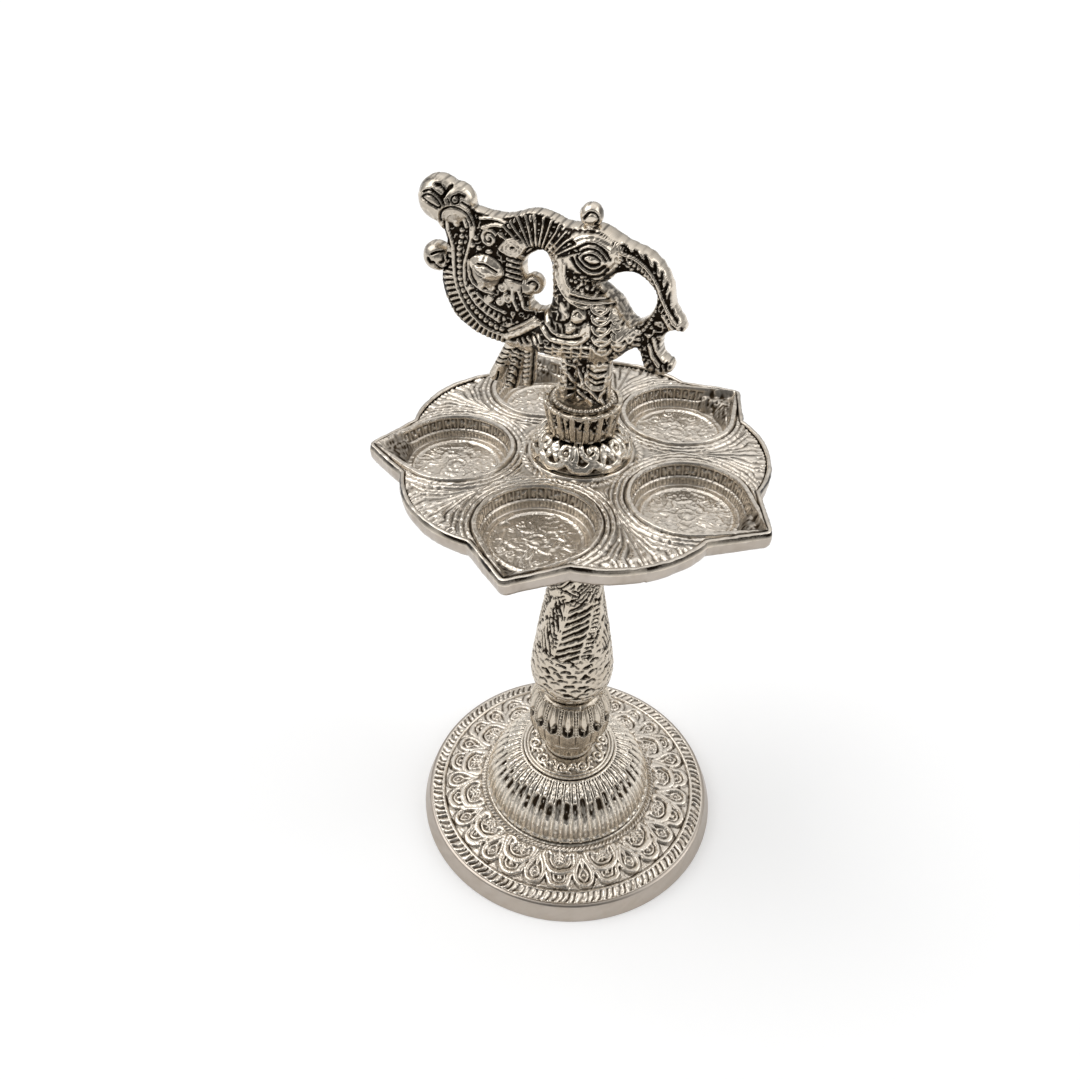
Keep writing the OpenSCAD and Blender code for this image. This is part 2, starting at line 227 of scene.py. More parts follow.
def almond(x, y, a, b, tilt):
    """Both edges of an almond of half length a and half width b."""
    t = np.linspace(-1, 1, 25)
    return [spin(np.c_[a * t, side * b * (1 - t ** 2)], tilt) + [x, y] for side in (1, -1)]


class Sheet:
    """A relief drawn over points x, y: raised lines, beads, ladders, lenses and cuts."""

    def __init__(self, x, y, ground):
        self.x, self.y = x, y
        self.h = np.zeros(x.shape) + ground

    def raise_to(self, where, share, top, foot):
        """Lifts points to a figure that stands on the foot and reaches the top where its share is 1."""
        height = np.where(share > 0, foot + (top - foot) * share, NOTHING)
        self.h[where] = np.maximum(self.h[where], height)

    def reach(self, path, w):
        """Points near a path, their distance to it and the length along it."""
        low, high = path.min(0) - w, path.max(0) + w
        across = (self.x > low[0]) & (self.x < high[0])
        where = np.nonzero(across & (self.y > low[1]) & (self.y < high[1]))
        return where, *to_path(self.x[where], self.y[where], path)

    def stroke(self, path, w, top, foot, power=1.0):
        where, d, _ = self.reach(path, w)
        self.raise_to(where, ridge(d, w) ** power, top, foot)

    def line(self, points, w, top=0.12, foot=GROUND):
        self.stroke(drawn(points), w, top, foot, 0.8)

    def beads(self, points, r, pitch, top=0.15, foot=GROUND):
        where, d, s = self.reach(drawn(points), r)
        self.raise_to(where, ridge(np.hypot(d, fold(s - pitch / 2, pitch)), r), top, foot)

    def ladder(self, points, w, pitch, share=0.6, top=0.1, foot=GROUND):
        """Cross bars along a line, with rounded ends."""
        where, d, s = self.reach(drawn(points), w)
        bar = ridge(fold(s, pitch), pitch * share / 2) * ridge(d, w) ** 0.35
        self.raise_to(where, bar ** 0.8, top, foot)

    def lens(self, x, y, a, b, tilt=0, top=0.15, foot=GROUND, point=1.0):
        """Raised almond of half length a and half width b."""
        c, s = math.cos(math.radians(tilt)), math.sin(math.radians(tilt))
        u = (self.x - x) * c + (self.y - y) * s
        v = (self.y - y) * c - (self.x - x) * s
        width = b * np.clip(1 - (u / a) ** 2, 0, 1) ** point
        q = np.abs(v) / np.maximum(width, 1e-6)
        where = np.nonzero((np.abs(u) < a) & (q < 1))
        self.raise_to(where, ridge(q[where], 1) * ridge(u[where], a) ** 0.5, top, foot)

    def almond_ring(self, x, y, a, b, tilt, w, top=0.12, foot=GROUND):
        for path in almond(x, y, a, b, tilt):
            self.stroke(path, w, top, foot)

    def ball(self, x, y, r, top=0.2, foot=GROUND):
        q = np.hypot(self.x - x, self.y - y)
        where = np.nonzero(q < r)
        self.raise_to(where, ridge(q[where], r), top, foot)

    def ring(self, x, y, r, w, top=0.12, foot=GROUND):
        d = np.abs(np.hypot(self.x - x, self.y - y) - r)
        where = np.nonzero(d < w)
        self.raise_to(where, ridge(d[where], w), top, foot)

    def spiral(self, x, y, r, turns, start, w, top=0.12):
        """Curl from the outside in; a negative number of turns winds the other way."""
        t = np.linspace(0, 1, 40)
        a, far = math.radians(start) + 2 * math.pi * turns * t, r * (1 - 0.85 * t)
        self.stroke(np.c_[x + far * np.cos(a), y + far * np.sin(a)], w, top, GROUND)

    def cut(self, points, w, depth):
        where, d, _ = self.reach(drawn(points), w)
        self.h[where] -= depth * soft(d, w)


# Meshes

def piece(name, points, faces, cavity, material, body, nodes, slot="plated_metal"):
    """A mesh object from points in mm and faces of 3 or 4 corners, riding on a body."""
    mesh = bpy.data.meshes.new(name)
    faces = [np.asarray(f, np.int32) for f in faces if len(f)]
    counts = np.concatenate([np.full(len(f), f.shape[1]) for f in faces])
    mesh.vertices.add(len(points))
    mesh.vertices.foreach_set("co", (np.asarray(points) * MM).astype(np.float32).ravel())
    mesh.loops.add(int(counts.sum()))
    mesh.loops.foreach_set("vertex_index", np.concatenate([f.ravel() for f in faces]))
    mesh.polygons.add(len(counts))
    mesh.polygons.foreach_set("loop_start", np.r_[0, np.cumsum(counts)[:-1]].astype(np.int32))
    mesh.update(calc_edges=True)
    mesh.validate()
    mesh.shade_smooth()
    layer = mesh.attributes.new("cavity", "FLOAT", "POINT")
    layer.data.foreach_set("value", np.asarray(cavity, np.float32).ravel())
    mesh.materials.append(material)
    made = bpy.data.objects.new(name, mesh)
    bpy.context.collection.objects.link(made)
    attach(made, body)
    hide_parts(*nodes)
    return made


def grid_faces(nu, nv, wrap, start=0):
    i, j = np.meshgrid(np.arange(nu if wrap else nu - 1), np.arange(nv - 1), indexing="ij")
    k = (i + 1) % nu
    quads = np.stack([i * nv + j, k * nv + j, k * nv + j + 1, i * nv + j + 1], -1)
    return quads.reshape(-1, 4) + start


def revolve(name, outline, look, relief, around=360, reach=4, span=0.3, sunk=None):
    """Turned piece. The outline is rows of (radius, height), from below outwards and up."""
    rz = np.asarray(outline, float)
    angle, r = np.meshgrid(np.arange(around) * 360 / around, rz[:, 0], indexing="ij")
    z = np.broadcast_to(rz[:, 1], r.shape)
    tangent = np.gradient(rz, axis=0)
    normal = np.c_[tangent[:, 1], -tangent[:, 0]] / np.linalg.norm(tangent, axis=1)[:, None]
    h = relief(angle, r, z)
    dark = hollows(h, reach, True, span, sunk)
    rr, zz = r + h * normal[:, 0], z + h * normal[:, 1]
    a = np.radians(angle)
    points = np.stack([rr * np.cos(a), rr * np.sin(a), zz], -1).reshape(-1, 3)
    return piece(name, points, [grid_faces(*r.shape, True)], dark, *look)


# Materials

def add_node(tree, kind, inputs=(), **settings):
    """A new node with its settings, and with its inputs set to values or linked to other outputs."""
    made = tree.nodes.new(kind)
    for key, value in settings.items():
        setattr(made, key, value)
    for key, value in dict(inputs).items():
        if isinstance(value, bpy.types.NodeSocket):
            tree.links.new(value, made.inputs[key])
        else:
            made.inputs[key].default_value = value
    return made


def math_node(tree, kind, *values, clamp=False):
    return add_node(tree, "ShaderNodeMath", enumerate(values), operation=kind, use_clamp=clamp).outputs[0]


def plated(name, bright, oxide, rough, patina, grain):
    """Plated casting: satin lands, oxide in the hollows and painted shade where a piece marks it, faint
    tarnish clouds and cast grain.
    """
    mat = bpy.data.materials.new(name)
    mat.use_nodes = True
    tree = mat.node_tree
    shader = tree.nodes["Principled BSDF"]
    shader.inputs["Metallic"].default_value = 1.0
    where = add_node(tree, "ShaderNodeTexCoord").outputs["Object"]
    cavity = add_node(tree, "ShaderNodeAttribute", attribute_name="cavity").outputs["Fac"]

    def texture(scale, detail):
        inputs = {"Vector": where, "Scale": scale, "Detail": detail, "Roughness": 0.6}
        return add_node(tree, "ShaderNodeTexNoise", inputs).outputs["Fac"]

    def mix(share, a, b):
        inputs = {"Factor": share, "A": a, "B": b}
        return add_node(tree, "ShaderNodeMix", inputs, data_type="RGBA").outputs["Result"]

    def map_range(**ends):
        inputs = {"Value": clouds} | {key.replace("_", " "): value for key, value in ends.items()}
        return add_node(tree, "ShaderNodeMapRange", inputs).outputs["Result"]

    clouds, specks = texture(260.0, 4.0), texture(2600.0, 3.0)
    depth = math_node(tree, "MULTIPLY", cavity, math_node(tree, "MULTIPLY_ADD", specks, 0.5, 0.75))
    # the oxide colour, for real oxide in the hollows and for painted shade that some pieces mark
    oxide_and_shade_share = math_node(tree, "MULTIPLY", depth, patina, clamp=True)
    warm = (bright[0] * 0.86, bright[1] * 0.80, bright[2] * 0.72, 1)
    lands = mix(map_range(From_Min=0.42, From_Max=0.72, To_Max=0.35), (*bright, 1), warm)
    tree.links.new(mix(oxide_and_shade_share, lands, (*oxide, 1)), shader.inputs["Base Color"])
    gloss = map_range(To_Min=rough - 0.05, To_Max=rough + 0.10)
    tree.links.new(math_node(tree, "MULTIPLY_ADD", oxide_and_shade_share, 0.15, gloss), shader.inputs["Roughness"])
    bump = add_node(tree, "ShaderNodeBump", {"Strength": grain, "Distance": 0.0001, "Height": specks})
    tree.links.new(bump.outputs["Normal"], shader.inputs["Normal"])
    return mat


PALE = plated("champagne_plate", (0.77, 0.705, 0.62), (0.055, 0.038, 0.022), 0.24, 1.1, 0.35)
# painted shade: a darker copy of the plating for the sides and undersides of the foot and the tray
SHADED_PLATE = plated("plate_painted_shade", (0.50, 0.445, 0.39), (0.14, 0.105, 0.075), 0.27, 0.8, 0.12)
AGED = plated("aged_plate", (0.82, 0.75, 0.65), (0.045, 0.03, 0.017), 0.19, 1.15, 0.15)
MATTE = plated("matte_plate", (0.86, 0.79, 0.69), (0.04, 0.027, 0.016), 0.23, 1.15, 0.15)
OLIVE = plated("olive_plate", (0.64, 0.57, 0.475), (0.022, 0.015, 0.009), 0.20, 1.2, 0.12)
ANTIQUE = plated("antique_plate", (0.74, 0.665, 0.565), (0.012, 0.008, 0.005), 0.20, 1.25, 0.12)
STEEL = plated("zinc_steel", (0.56, 0.57, 0.58), (0.10, 0.10, 0.10), 0.32, 0.8, 0.12)


# Base

FRIEZE_ARCHES = [  # half width, top, half of each figure: two arches, each with an inner line, and a stalk
    (0.80, 0.42, [[2.2, 26.5], [3.0, 25.8], [3.9, 26.2], [4.15, 27.6], [3.8, 29.5], [2.4, 31.1], [0, 31.7],
                  [-1.5, 31.5]]),
    (0.36, 0.14, [[2.55, 27.4], [2.5, 28.6], [1.6, 29.7], [0, 30.2], [-1, 30]]),
    (0.70, 0.40, [[3.5, 31.9], [2.9, 32.6], [2.75, 33.6], [2.0, 34.7], [0.8, 35.3],
                  [0, 35.4], [-0.8, 35.25]]),
    (0.34, 0.14, [[1.6, 32.3], [1.5, 33.1], [0.9, 33.9], [0, 34.15], [-0.7, 34]]),
    (0.30, 0.22, [[0, 25.9], [0, 29.2]])]
FRIEZE_DROP = [[0, 26.9], [0.75, 28.4], [1.7, 30.1], [2.35, 31.9], [2.3, 33.4], [1.5, 34.7],
               [0, 35.2], [-1, 35]]


def foot_height(r):
    """Top of the foot, rising from the side band to the dome."""
    share = np.clip((FOOT_EDGE_R - r) / (FOOT_EDGE_R - DOME_FOOT_R), 0, 1)
    return FOOT_BAND_Z + (FOOT_TOP_Z - FOOT_BAND_Z) * share


def dome_arc(first, last, count, wall=0.0):
    """Points of the dome's quarter ellipse between two angles, drawn in by a wall."""
    t = np.radians(np.linspace(first, last, count))
    return np.c_[DOME_RING_R + (DOME_W - wall) * np.cos(t), FOOT_TOP_Z + (DOME_H - wall) * np.sin(t)]


def cast_skin(seed, height=0.008, scale=2.2):
    """Faint unevenness of a plain cast or worked surface."""
    def relief(angle, r, z):
        x = arc_length(angle, np.maximum(r, 4))
        skin = noise(x / scale, z / scale, seed) + 0.5 * noise(x / 0.7, z / 0.7, seed + 1)
        return height * skin * smooth(0.1, 0.8, z)
    return relief


def border_strokes(angle, r, z):
    """Ring of short slanting strokes between two fine lines."""
    m = (r - 38.55) / 1.35
    slant = 0.33 * m + 0.16 * m * m + 0.24 * noise(angle / 2.6, r / 2, 5)
    stroke = wave(angle * BORDER_STROKES / 360 + slant) ** 0.8 * smooth(1.12, 0.85, np.abs(m))
    h = -0.26 + 0.50 * stroke * (0.9 + 0.45 * noise(angle / 2, r / 2, 7))
    h = over(h, 0.08 * ridge(r - 40.05, 0.28))
    h = over(h, 0.14 * ridge(r - 36.95, 0.25))
    return h + 0.05 * noise(angle * 1.6, r * 2.5, 6)


def frieze(angle, r, z):
    """Fifteen arches on a stippled ground, each with a leaf, drop shapes between them and a rope inside."""
    cell, foot = PITCH / 3, -0.14
    sway = 0.40 * noise(angle / 6, r / 3, 4) + 0.22 * noise(angle / 2, r / 1.1, 13)
    arches = Sheet(np.abs(arc_length(fold(angle, cell), r) + sway), r + 0.5 * sway, foot)
    for w, top, points in FRIEZE_ARCHES:
        arches.line(points, w, top, foot)
    arches.ball(0, 32.9, 0.62, 0.24, foot)
    for k in range(3):
        arches.lens(0.9, 26.8 + 0.95 * k, 0.95, 0.42, 40, 0.20, foot)
    drops = Sheet(np.abs(arc_length(fold(angle + cell / 2, cell), r)), r - 0.4 * sway, NOTHING)
    drops.line(FRIEZE_DROP, 0.62, 0.40, foot)
    drops.almond_ring(0, 32.4, 1.6, 1.1, 90, 0.32, 0.16, foot)
    drops.ball(0, 32.4, 0.5, 0.22, foot)
    drops.lens(0, 29.2, 1.8, 0.6, 90, 0.24, foot)
    h = np.maximum(arches.h, drops.h)
    # a groove along the outer edge of each figure
    figure = smooth(-0.08, 0.02, h)
    beyond = np.maximum(np.roll(figure, -3, 1), np.roll(figure, -6, 1))
    edge = np.clip(beyond - 1.5 * figure, 0, 1) * (r < 36.3) * smooth(26, 29, r)
    h = h - 0.38 * edge * (0.8 + 0.5 * noise(angle / 4, r / 2, 10))
    h = over(h, 0.14 * ridge(r - BORDER_IN_R, 0.35)) - 0.42 * soft(r - 36.35, 0.34)
    strand = wave(angle * ROPE_STRANDS / 360 + 0.5 * (r - 24.7)) ** 0.7
    rope = -0.15 + 0.50 * strand * ridge(r - ROPE_R, 0.72)
    h = np.where(np.abs(r - ROPE_R) < 0.72, np.maximum(rope, -0.15), h) - 0.25 * soft(r - 25.6, 0.25)
    x = arc_length(angle, r)
    stipple = np.where(h < 0.0, 0.10, 0.05)
    return h + stipple * noise(x / 0.42, r / 0.42, 8) + 0.04 * noise(x / 2, r / 2, 9)


def dome_flutes(angle, r, z):
    """Hollow flutes between thin fillets: leaves in their heads, deep in the middle, round ends below."""
    t = np.degrees(np.arctan2((z - FOOT_TOP_Z) / DOME_H, (r - DOME_RING_R) / DOME_W))
    arc = arc_length(t, 16)
    turn, half = angle * FLUTES / 360, np.pi * r / FLUTES
    u = np.abs(fold(turn + 0.07 * noise(angle / 5, arc / 3, 15), 1.0)) * 2 * half
    wide = 0.80 * half
    flute = np.floor(turn + 0.5)
    low, high = 2.5 * np.sin(3.7 * flute), 3.5 * np.sin(2.3 * flute + 1)
    slot = smooth(27 + low, 37 + low, t) * smooth(55 + high, 45 + high, t)
    narrow = np.maximum(0.66 * np.sqrt(slot), 1e-3)
    end = np.where(arc < 2.9, np.hypot(np.minimum(arc - 2.9, 0), u), u)
    slot *= 0.75 + 0.45 * noise(angle / 1.7, arc / 0.9, 18)
    hollow = -0.04 - 0.20 * smooth(1.0, 0.66, end / wide) - 0.46 * slot * smooth(1.0, 0.5, u / half / narrow)
    hollow = hollow + 0.10 * ridge(end / wide, 0.34) * (1 - slot)
    h = np.where(end < wide, hollow, -0.04 + 0.34 * ridge(end - half, 0.32))
    h = np.where(end > 1.12 * half, -0.34 + 0.36 * ridge(np.hypot(half - u, arc - 1.0), 0.5), h)
    # a leaf in the head of each flute
    leaf = -0.30 + 0.62 * ridge(u / np.maximum(0.66 * half * smooth(69.5, 64, t), 1e-3), 1.0) ** 0.8
    leaf = leaf - 0.12 * soft(u, 0.16) * smooth(58, 61, t) + 0.16 * noise(angle / 1.2, arc / 0.5, 16)
    head = smooth(47 + high, 51 + high, t)
    h = h * (1 - head) + np.maximum(leaf, np.where(u > wide, 0.12, NOTHING)) * head
    h = np.where(arc > 18.7, -0.2 + 0.40 * ridge(arc - 19.2, 0.40), h)
    h = h * smooth(0.3, 0.8, arc) - 0.40 * smooth(0.6, 0.3, arc)
    return h + 0.06 * noise(angle / 1.3, arc / 0.8, 11) + 0.04 * noise(angle / 0.4, arc / 0.3, 12)


def collar_scrolls(angle, r, z):
    """Double ring, then leaf scrolls running round the collar."""
    h = over(np.full(r.shape, -0.16), 0.24 * ridge(r - 12.65, 0.40))
    h = over(h, 0.20 * ridge(r - 11.75, 0.32))
    sheet = Sheet(arc_length(fold(angle, 36), 9.4), r, -0.30)
    sheet.spiral(-1.3, 9.5, 1.5, 1.0, 160, 0.55, 0.34)
    sheet.spiral(1.7, 9.2, 1.3, -0.9, 30, 0.52, 0.34)
    sheet.lens(0.3, 10.6, 1.2, 0.6, 30, 0.30, -0.36)
    sheet.line([[-3.0, 10.5], [-1.6, 10.9], [0, 10.3], [1.6, 8.2], [3.0, 8.6]], 0.5, 0.28, -0.36)
    return np.where(r < 11.3, sheet.h, h) + 0.05 * noise(angle / 2, r / 0.5, 14)


def make_base():
    """Foot with a hollow underside and a plain side, its ornamented top, the dome and the collar on it."""
    foot, nodes = "stand", ["base_foot"]
    side = curve([[38.7, 0.05], [40.5, 0], [42.2, 0.05], [42.45, 0.35], [42.1, 1.4], [41.6, 2.8],
                  [41.15, 4.1], [40.85, 4.7], [40.4, 4.97], [BORDER_OUT_R, FOOT_BAND_Z]], 4)
    rim = np.vstack([
        resample([[BORE_R, ROOF_Z], [7.0, ROOF_Z]], 6), dome_arc(88, 0, 16, DOME_WALL),
        resample([[23.5, 4.8], [38.3, 2.9]], 10), resample([[38.5, 2.6], [38.5, 0.3]], 5), side])
    revolve("base_rim", rim, (SHADED_PLATE, foot, nodes), cast_skin(3), around=300, span=0.12)
    step = [BORDER_IN_R, foot_height(BORDER_IN_R)]
    border = resample([[BORDER_OUT_R, FOOT_BAND_Z], step], 26)
    revolve("base_border", border, (PALE, foot, nodes), border_strokes, around=1440)
    top = resample([step, [DOME_FOOT_R, FOOT_TOP_Z], [24.0, 7.05]], 86)
    revolve("base_frieze", top, (PALE, foot, nodes), frieze, 1120, 5, 0.68, (-0.36, -0.62))
    dome = np.vstack([[[24.05, 7.04], [23.7, 6.95]], dome_arc(0, 70.8, 92)])
    revolve("base_dome", dome, (MATTE, foot, nodes), dome_flutes, 1040, 5, 0.42, (-0.34, -0.60))
    collar = resample([[13.05, 22.8], [11.4, 22.95], [7.0, 23.7], [6.0, 23.72]], 52)
    collar = np.vstack([[[13.1, 22.4], [13.12, 22.6]], collar])
    revolve("base_collar", collar, (MATTE, foot, nodes), collar_scrolls, 600, 5, 0.44)


make_base()


# Knop and stem

def knop_radius(h):
    widest = 15.2
    drop = np.where(h < widest, (widest - h) / 10.0, (h - widest) / 8.4)
    return 6.4 + 4.5 * ridge(drop, 1)


def knop_petals(angle, r, z):
    """Fifteen hanging drops in sunk beds, beaded lines between, over smooth lobes and a plain neck."""
    h = z - KNOP_Z + 0.25 * noise(angle / 13, z * 0, 22)
    cell, belly_r = 24, 10.6
    u, side = (np.abs(arc_length(fold(angle + shift, cell), belly_r)) for shift in (0, cell / 2))

    def finger(at, low, high):
        """Half width of a hanging drop, 1 at that height, round below and tapering up."""
        return np.where(h < at, ridge(h - at, at - low), np.clip((high - h) / (high - at), 0, 1) ** 0.6)

    bed = u / np.maximum(1.90 * finger(16.6, 14.2, 27.0), 1e-3)
    drop = u / np.maximum(1.0 * finger(18.8, 17.0, 23.6), 1e-3)
    edge_bead = np.hypot(2.2 * (bed - 1.12), fold(h, 0.9))
    lobe = 0.26 * ridge(u / 2.2, 1.02) - 0.30 * soft(side, 0.40) * smooth(8.5, 10, h)
    edge = h - (8.2 + 0.7 * (1 - (u / 2.2) ** 2))
    lobe = lobe - 0.60 * soft(edge, 0.45) * smooth(0.7, 1.5, u) - 0.15 * soft(edge, 0.35)
    cup = (0.34 + 0.46 * smooth(19.0, 16.5, h)) * smooth(1.0, 0.70, bed)
    out = np.where(bed < 1, lobe - cup, lobe + 0.10 * soft(bed - 1.1, 0.2) * (h > 12))
    out = np.maximum(out, np.where(drop < 1, -0.6 + 1.15 * ridge(drop, 1), NOTHING))
    out = np.maximum(out, np.where((h > 15) & (bed > 0.9), -0.3 + 0.55 * ridge(edge_bead, 0.45), NOTHING))
    out = np.maximum(out, -0.8 + 0.75 * ridge(np.hypot(u - 0.25, h - 16.4), 0.6))
    line = np.hypot(side, fold(h - 0.4, 0.95))
    out = np.where((h > 14.4) & (side < 0.62), np.maximum(-0.30, -0.3 + 0.55 * ridge(line, 0.5)), out)
    out = np.where(h > 22.5, -0.3, out * smooth(5.4, 6.8, h))
    return out + 0.05 * noise(angle / 4, h / 0.8, 21)


def stem_outline():
    """Belly, tapering shaft, bead, flare under the tray and the plain foot and head."""
    low = np.radians(np.linspace(0, 90, 40))
    belly = np.c_[6.8 + 4.2 * np.sin(low), 8.5 - 7.4 * np.cos(low)]
    s = np.linspace(0, 1, 150)[1:]
    shaft = np.c_[5.2 + 5.8 * (1 - s ** 1.2), 8.5 + 37.5 * s]
    bead = curve([[5.2, 46.4], [6.1, 46.9], [6.5, 47.6], [6.5, 48.6], [6.1, 49.4], [5.3, 50.2],
                  [5.15, 51.2]], 5)
    s = np.linspace(0.02, 1, 70)
    flare = np.c_[5.2 + 5.8 * s * s, 52 + 18.4 * s]
    head = curve([[11.0, 70.6], [11.05, 71.3], [10.9, 72.0], [10.4, 72.2], [6.0, 72.2]], 4)
    foot = [[5.0, 0.0], [6.6, 0.0], [6.8, 0.15], [6.85, 0.5], [6.75, 0.85]]
    return np.vstack([foot, belly, shaft, bead, flare, head])


def stem_veins(w, h, warp):
    """Slanting veins of a wrapping leaf, w across it, and finer crossing strokes near the neck."""
    left = soft(fold(h + 2.4 * w + warp, 3.3), 1.25) * smooth(-6.0, -5.3, w) * smooth(-0.3, -0.8, w)
    right = soft(fold(h - 0.55 * w + 0.10 * np.abs(w - 3.6) + warp, 2.1), 0.80)
    right *= smooth(0.3, 0.9, w) * smooth(7.2, 6.4, w)
    small = soft(fold(h + 0.1 * w + warp, 1.25), 0.42) * smooth(7.4, 7.8, w) * smooth(10.4, 9.6, w)
    far = soft(fold(h - 1.6 * w + warp, 1.9), 0.5) * smooth(-6.2, -6.8, w)
    chips = 0.8 * smooth(0.30, 0.55, noise(w / 0.75, h / 0.6, 39)) * (np.abs(w - 3.6) > 3.4)
    veins = np.maximum.reduce([left, right, small, far, chips])
    up = soft(fold(h - 0.9 * w + 2 * warp, 1.5), 0.45) * (noise(w / 1.4, h / 1.4, 37) > -0.2)
    down = soft(fold(h + 0.3 * w - 2 * warp, 1.2), 0.32) * (noise(w / 1.7, h / 1.7, 38) > 0.1)
    high = smooth(35.0, 37.0, h + 1.2 * warp)
    veins = veins * (1 - high) + np.maximum(up, down) * high
    return veins * (0.85 + 0.5 * noise(w / 1.1, h / 1.1, 32))


def stem_flecks(angle, h):
    """Staggered short wavy arcs, each a little different."""
    wide, tall = 3.7, 1.6
    row = np.floor(h / tall)
    x = arc_length(angle, 10.5) + (row % 2) * 1.9 + 1.1 * np.sin(row * 12.9)
    cell = np.floor(x / wide)
    lucky = np.sin(cell * 91.7 + row * 47.3)
    fx, fy = x - (cell + 0.5) * wide, h - (row + 0.5) * tall
    bow = fy + 0.24 * fx * fx - 0.3 + 0.35 * lucky + 0.5 * noise(x / 1.3, h / 1.3, 35)
    return soft(bow, 0.5) * smooth(1.8, 1.0, np.abs(fx)) * (0.7 + 0.4 * lucky)


def stem_leaves(angle, r, z):
    """Three wrapping leaves above, flecks below, upright leaves with a midrib in the flare."""
    h = z - STEM_Z
    warp = 0.45 * noise(angle / 17, h / 2.4, 31) + 0.2 * noise(angle / 6, h / 0.9, 36)
    w = arc_length(fold(angle - 56 - 1.6 * (h - 28), 120), r) + 0.5 * warp + 4.0
    out = -0.62 * stem_veins(w, h, warp) * smooth(17, 20, h) * smooth(46.5, 44.5, h)
    out -= 0.66 * stem_flecks(angle, h) * smooth(2.6, 4.4, h) * smooth(21, 17.5, h)
    out = np.where(h < 1.5, -0.24 * smooth(1.5, 1.1, h), out)
    p = np.abs(arc_length(fold(angle, 36), r))
    width = 0.30 * r * np.clip((71 - h) / 19, 0, 1) ** 0.5
    leaf = -0.30 + 0.42 * ridge(p / np.maximum(width, 0.1), 1.0) ** 0.6
    leaf = over(leaf, 0.18 * ridge(p, 0.3)) - 0.2 * soft(fold(h - 1.2 * p, 1.6), 0.3) * (p > 0.4)
    out = np.where(h > 51.5, leaf * smooth(51.5, 53.5, h) * smooth(70.4, 69.4, h), out)
    return out + 0.10 * noise(angle / 5, h / 0.9, 33) + 0.06 * noise(angle / 1.9, h / 0.35, 34)


def make_knop_and_stem():
    h = np.linspace(5.4, 23.2, 130)
    neck = curve([[6.0, 0.0], [6.6, 0.05], [6.72, 0.35], [6.45, 0.9], [6.35, 2.5],
                  [6.35, 4.4], [6.55, 5.0]], 5)
    knop = np.vstack([neck, np.c_[knop_radius(h), h], [[7.2, 23.4], [5.0, 23.4]]]) + [0, KNOP_Z]
    revolve("knop_petals", knop, (OLIVE, "stand", ["knop"]), knop_petals, 600, 6, 0.7, (-0.25, -0.6))
    stem = stem_outline() + [0, STEM_Z]
    revolve("stem_leaves", stem, (OLIVE, "stand", ["stem"]), stem_leaves, 320, 5, 0.42, (-0.10, -0.32))


make_knop_and_stem()


# Tray

def tray_half(inset, counts):
    """Half of one petal's edge from tip to lobe middle, in the tip's frame, drawn in by inset."""
    notch_a = math.radians(NOTCH_A)
    lean = math.atan2(NOTCH_R * math.sin(notch_a), TIP_R - NOTCH_R * math.cos(notch_a))
    tip = np.array([TIP_R - inset / math.sin(lean), 0.0])
    side = np.linspace(-1, 0, 24)
    angle = np.radians(PITCH / 2 + side * (PITCH / 2 - NOTCH_A))
    r = NOTCH_R - inset + (LOBE_R - NOTCH_R) * (1 - side * side)
    lobe = np.c_[r * np.cos(angle), r * np.sin(angle)]
    straight = resample([tip, lobe[0]], counts[0] + 1)
    return np.vstack([straight[:-1], resample(lobe, counts[1] + 1)])


def turned(xy, k):
    """Points of the tip's frame at the place of bowl k."""
    return spin(xy.reshape(-1, 2), TRAY_ANGLE + k * PITCH)


def mouth_radius(phi):
    """Edge of a bowl's teardrop mouth, from the bowl's middle; phi is 0 towards the tip."""
    return BOWL_R / np.cos(np.clip(SPOUT_BEND - np.abs(phi), 0, None))


def mouth_distance(x, y):
    """Distance outside the teardrop mouth in the tip's frame."""
    dx, dy = x - BOWL_CIRCLE, np.abs(y)
    line = dx * math.cos(SPOUT_BEND) + dy * math.sin(SPOUT_BEND) - BOWL_R
    return np.where(np.arctan2(dy, dx) < SPOUT_BEND, line, np.hypot(dx, dy) - BOWL_R)


def sector_edge(inset, hub, counts):
    """Edge of one sector of the tray, anticlockwise: direction and distance from its bowl's middle."""
    outer = tray_half(inset, counts[:2])
    corner = hub * np.array([math.cos(HALF_PITCH), math.sin(HALF_PITCH)])
    ray = resample([outer[-1], corner], counts[2] + 1)
    a = np.linspace(HALF_PITCH, 0, counts[3] + 1)
    arc = np.c_[hub * np.cos(a), hub * np.sin(a)]
    half = np.vstack([outer, ray[1:], arc[1:]])
    x, y = np.vstack([half, half[-2:0:-1] * [1, -1]]).T - [[BOWL_CIRCLE], [0]]
    return np.arctan2(y, x), np.hypot(x, y)


def round_bowl(phi, rad):
    """Places on rays from a bowl's middle, in the tip's frame."""
    return BOWL_CIRCLE + rad * np.cos(phi)[:, None], rad * np.sin(phi)[:, None]


def feathers(a, b, r, sway):
    """Feathers that spread from the waist between two bowls and split on the way to the rim."""
    ring = BOWL_R + 3.9
    ahead = a - BOWL_CIRCLE * math.cos(HALF_PITCH)
    width = BOWL_CIRCLE * math.sin(HALF_PITCH) - np.sqrt(np.maximum(ring ** 2 - ahead ** 2, 36))
    place = b / width + 0.09 * sway
    gap = np.abs(fold(place, 0.5)) * width
    for shift, cell, start in ((0.25, 0.5, 31.0), (0.125, 0.25, 37.5)):
        late = 4 * (1 - smooth(start, start + 2.5, r + 1.5 * sway))
        gap = np.minimum(gap, np.abs(fold(place + shift, cell)) * width + late)
    open_end = 0.45 + 0.5 * smooth(38.0, 41.0, r) * (1 + sway)
    beads = 0.05 * wave((a + 0.6 * b) / 1.1) * soft(gap - 1.0, 0.5)
    return -0.30 + 0.40 * smooth(0.15, 0.9, gap / open_end) + 0.16 * smooth(0.4, 1.6, gap) + beads


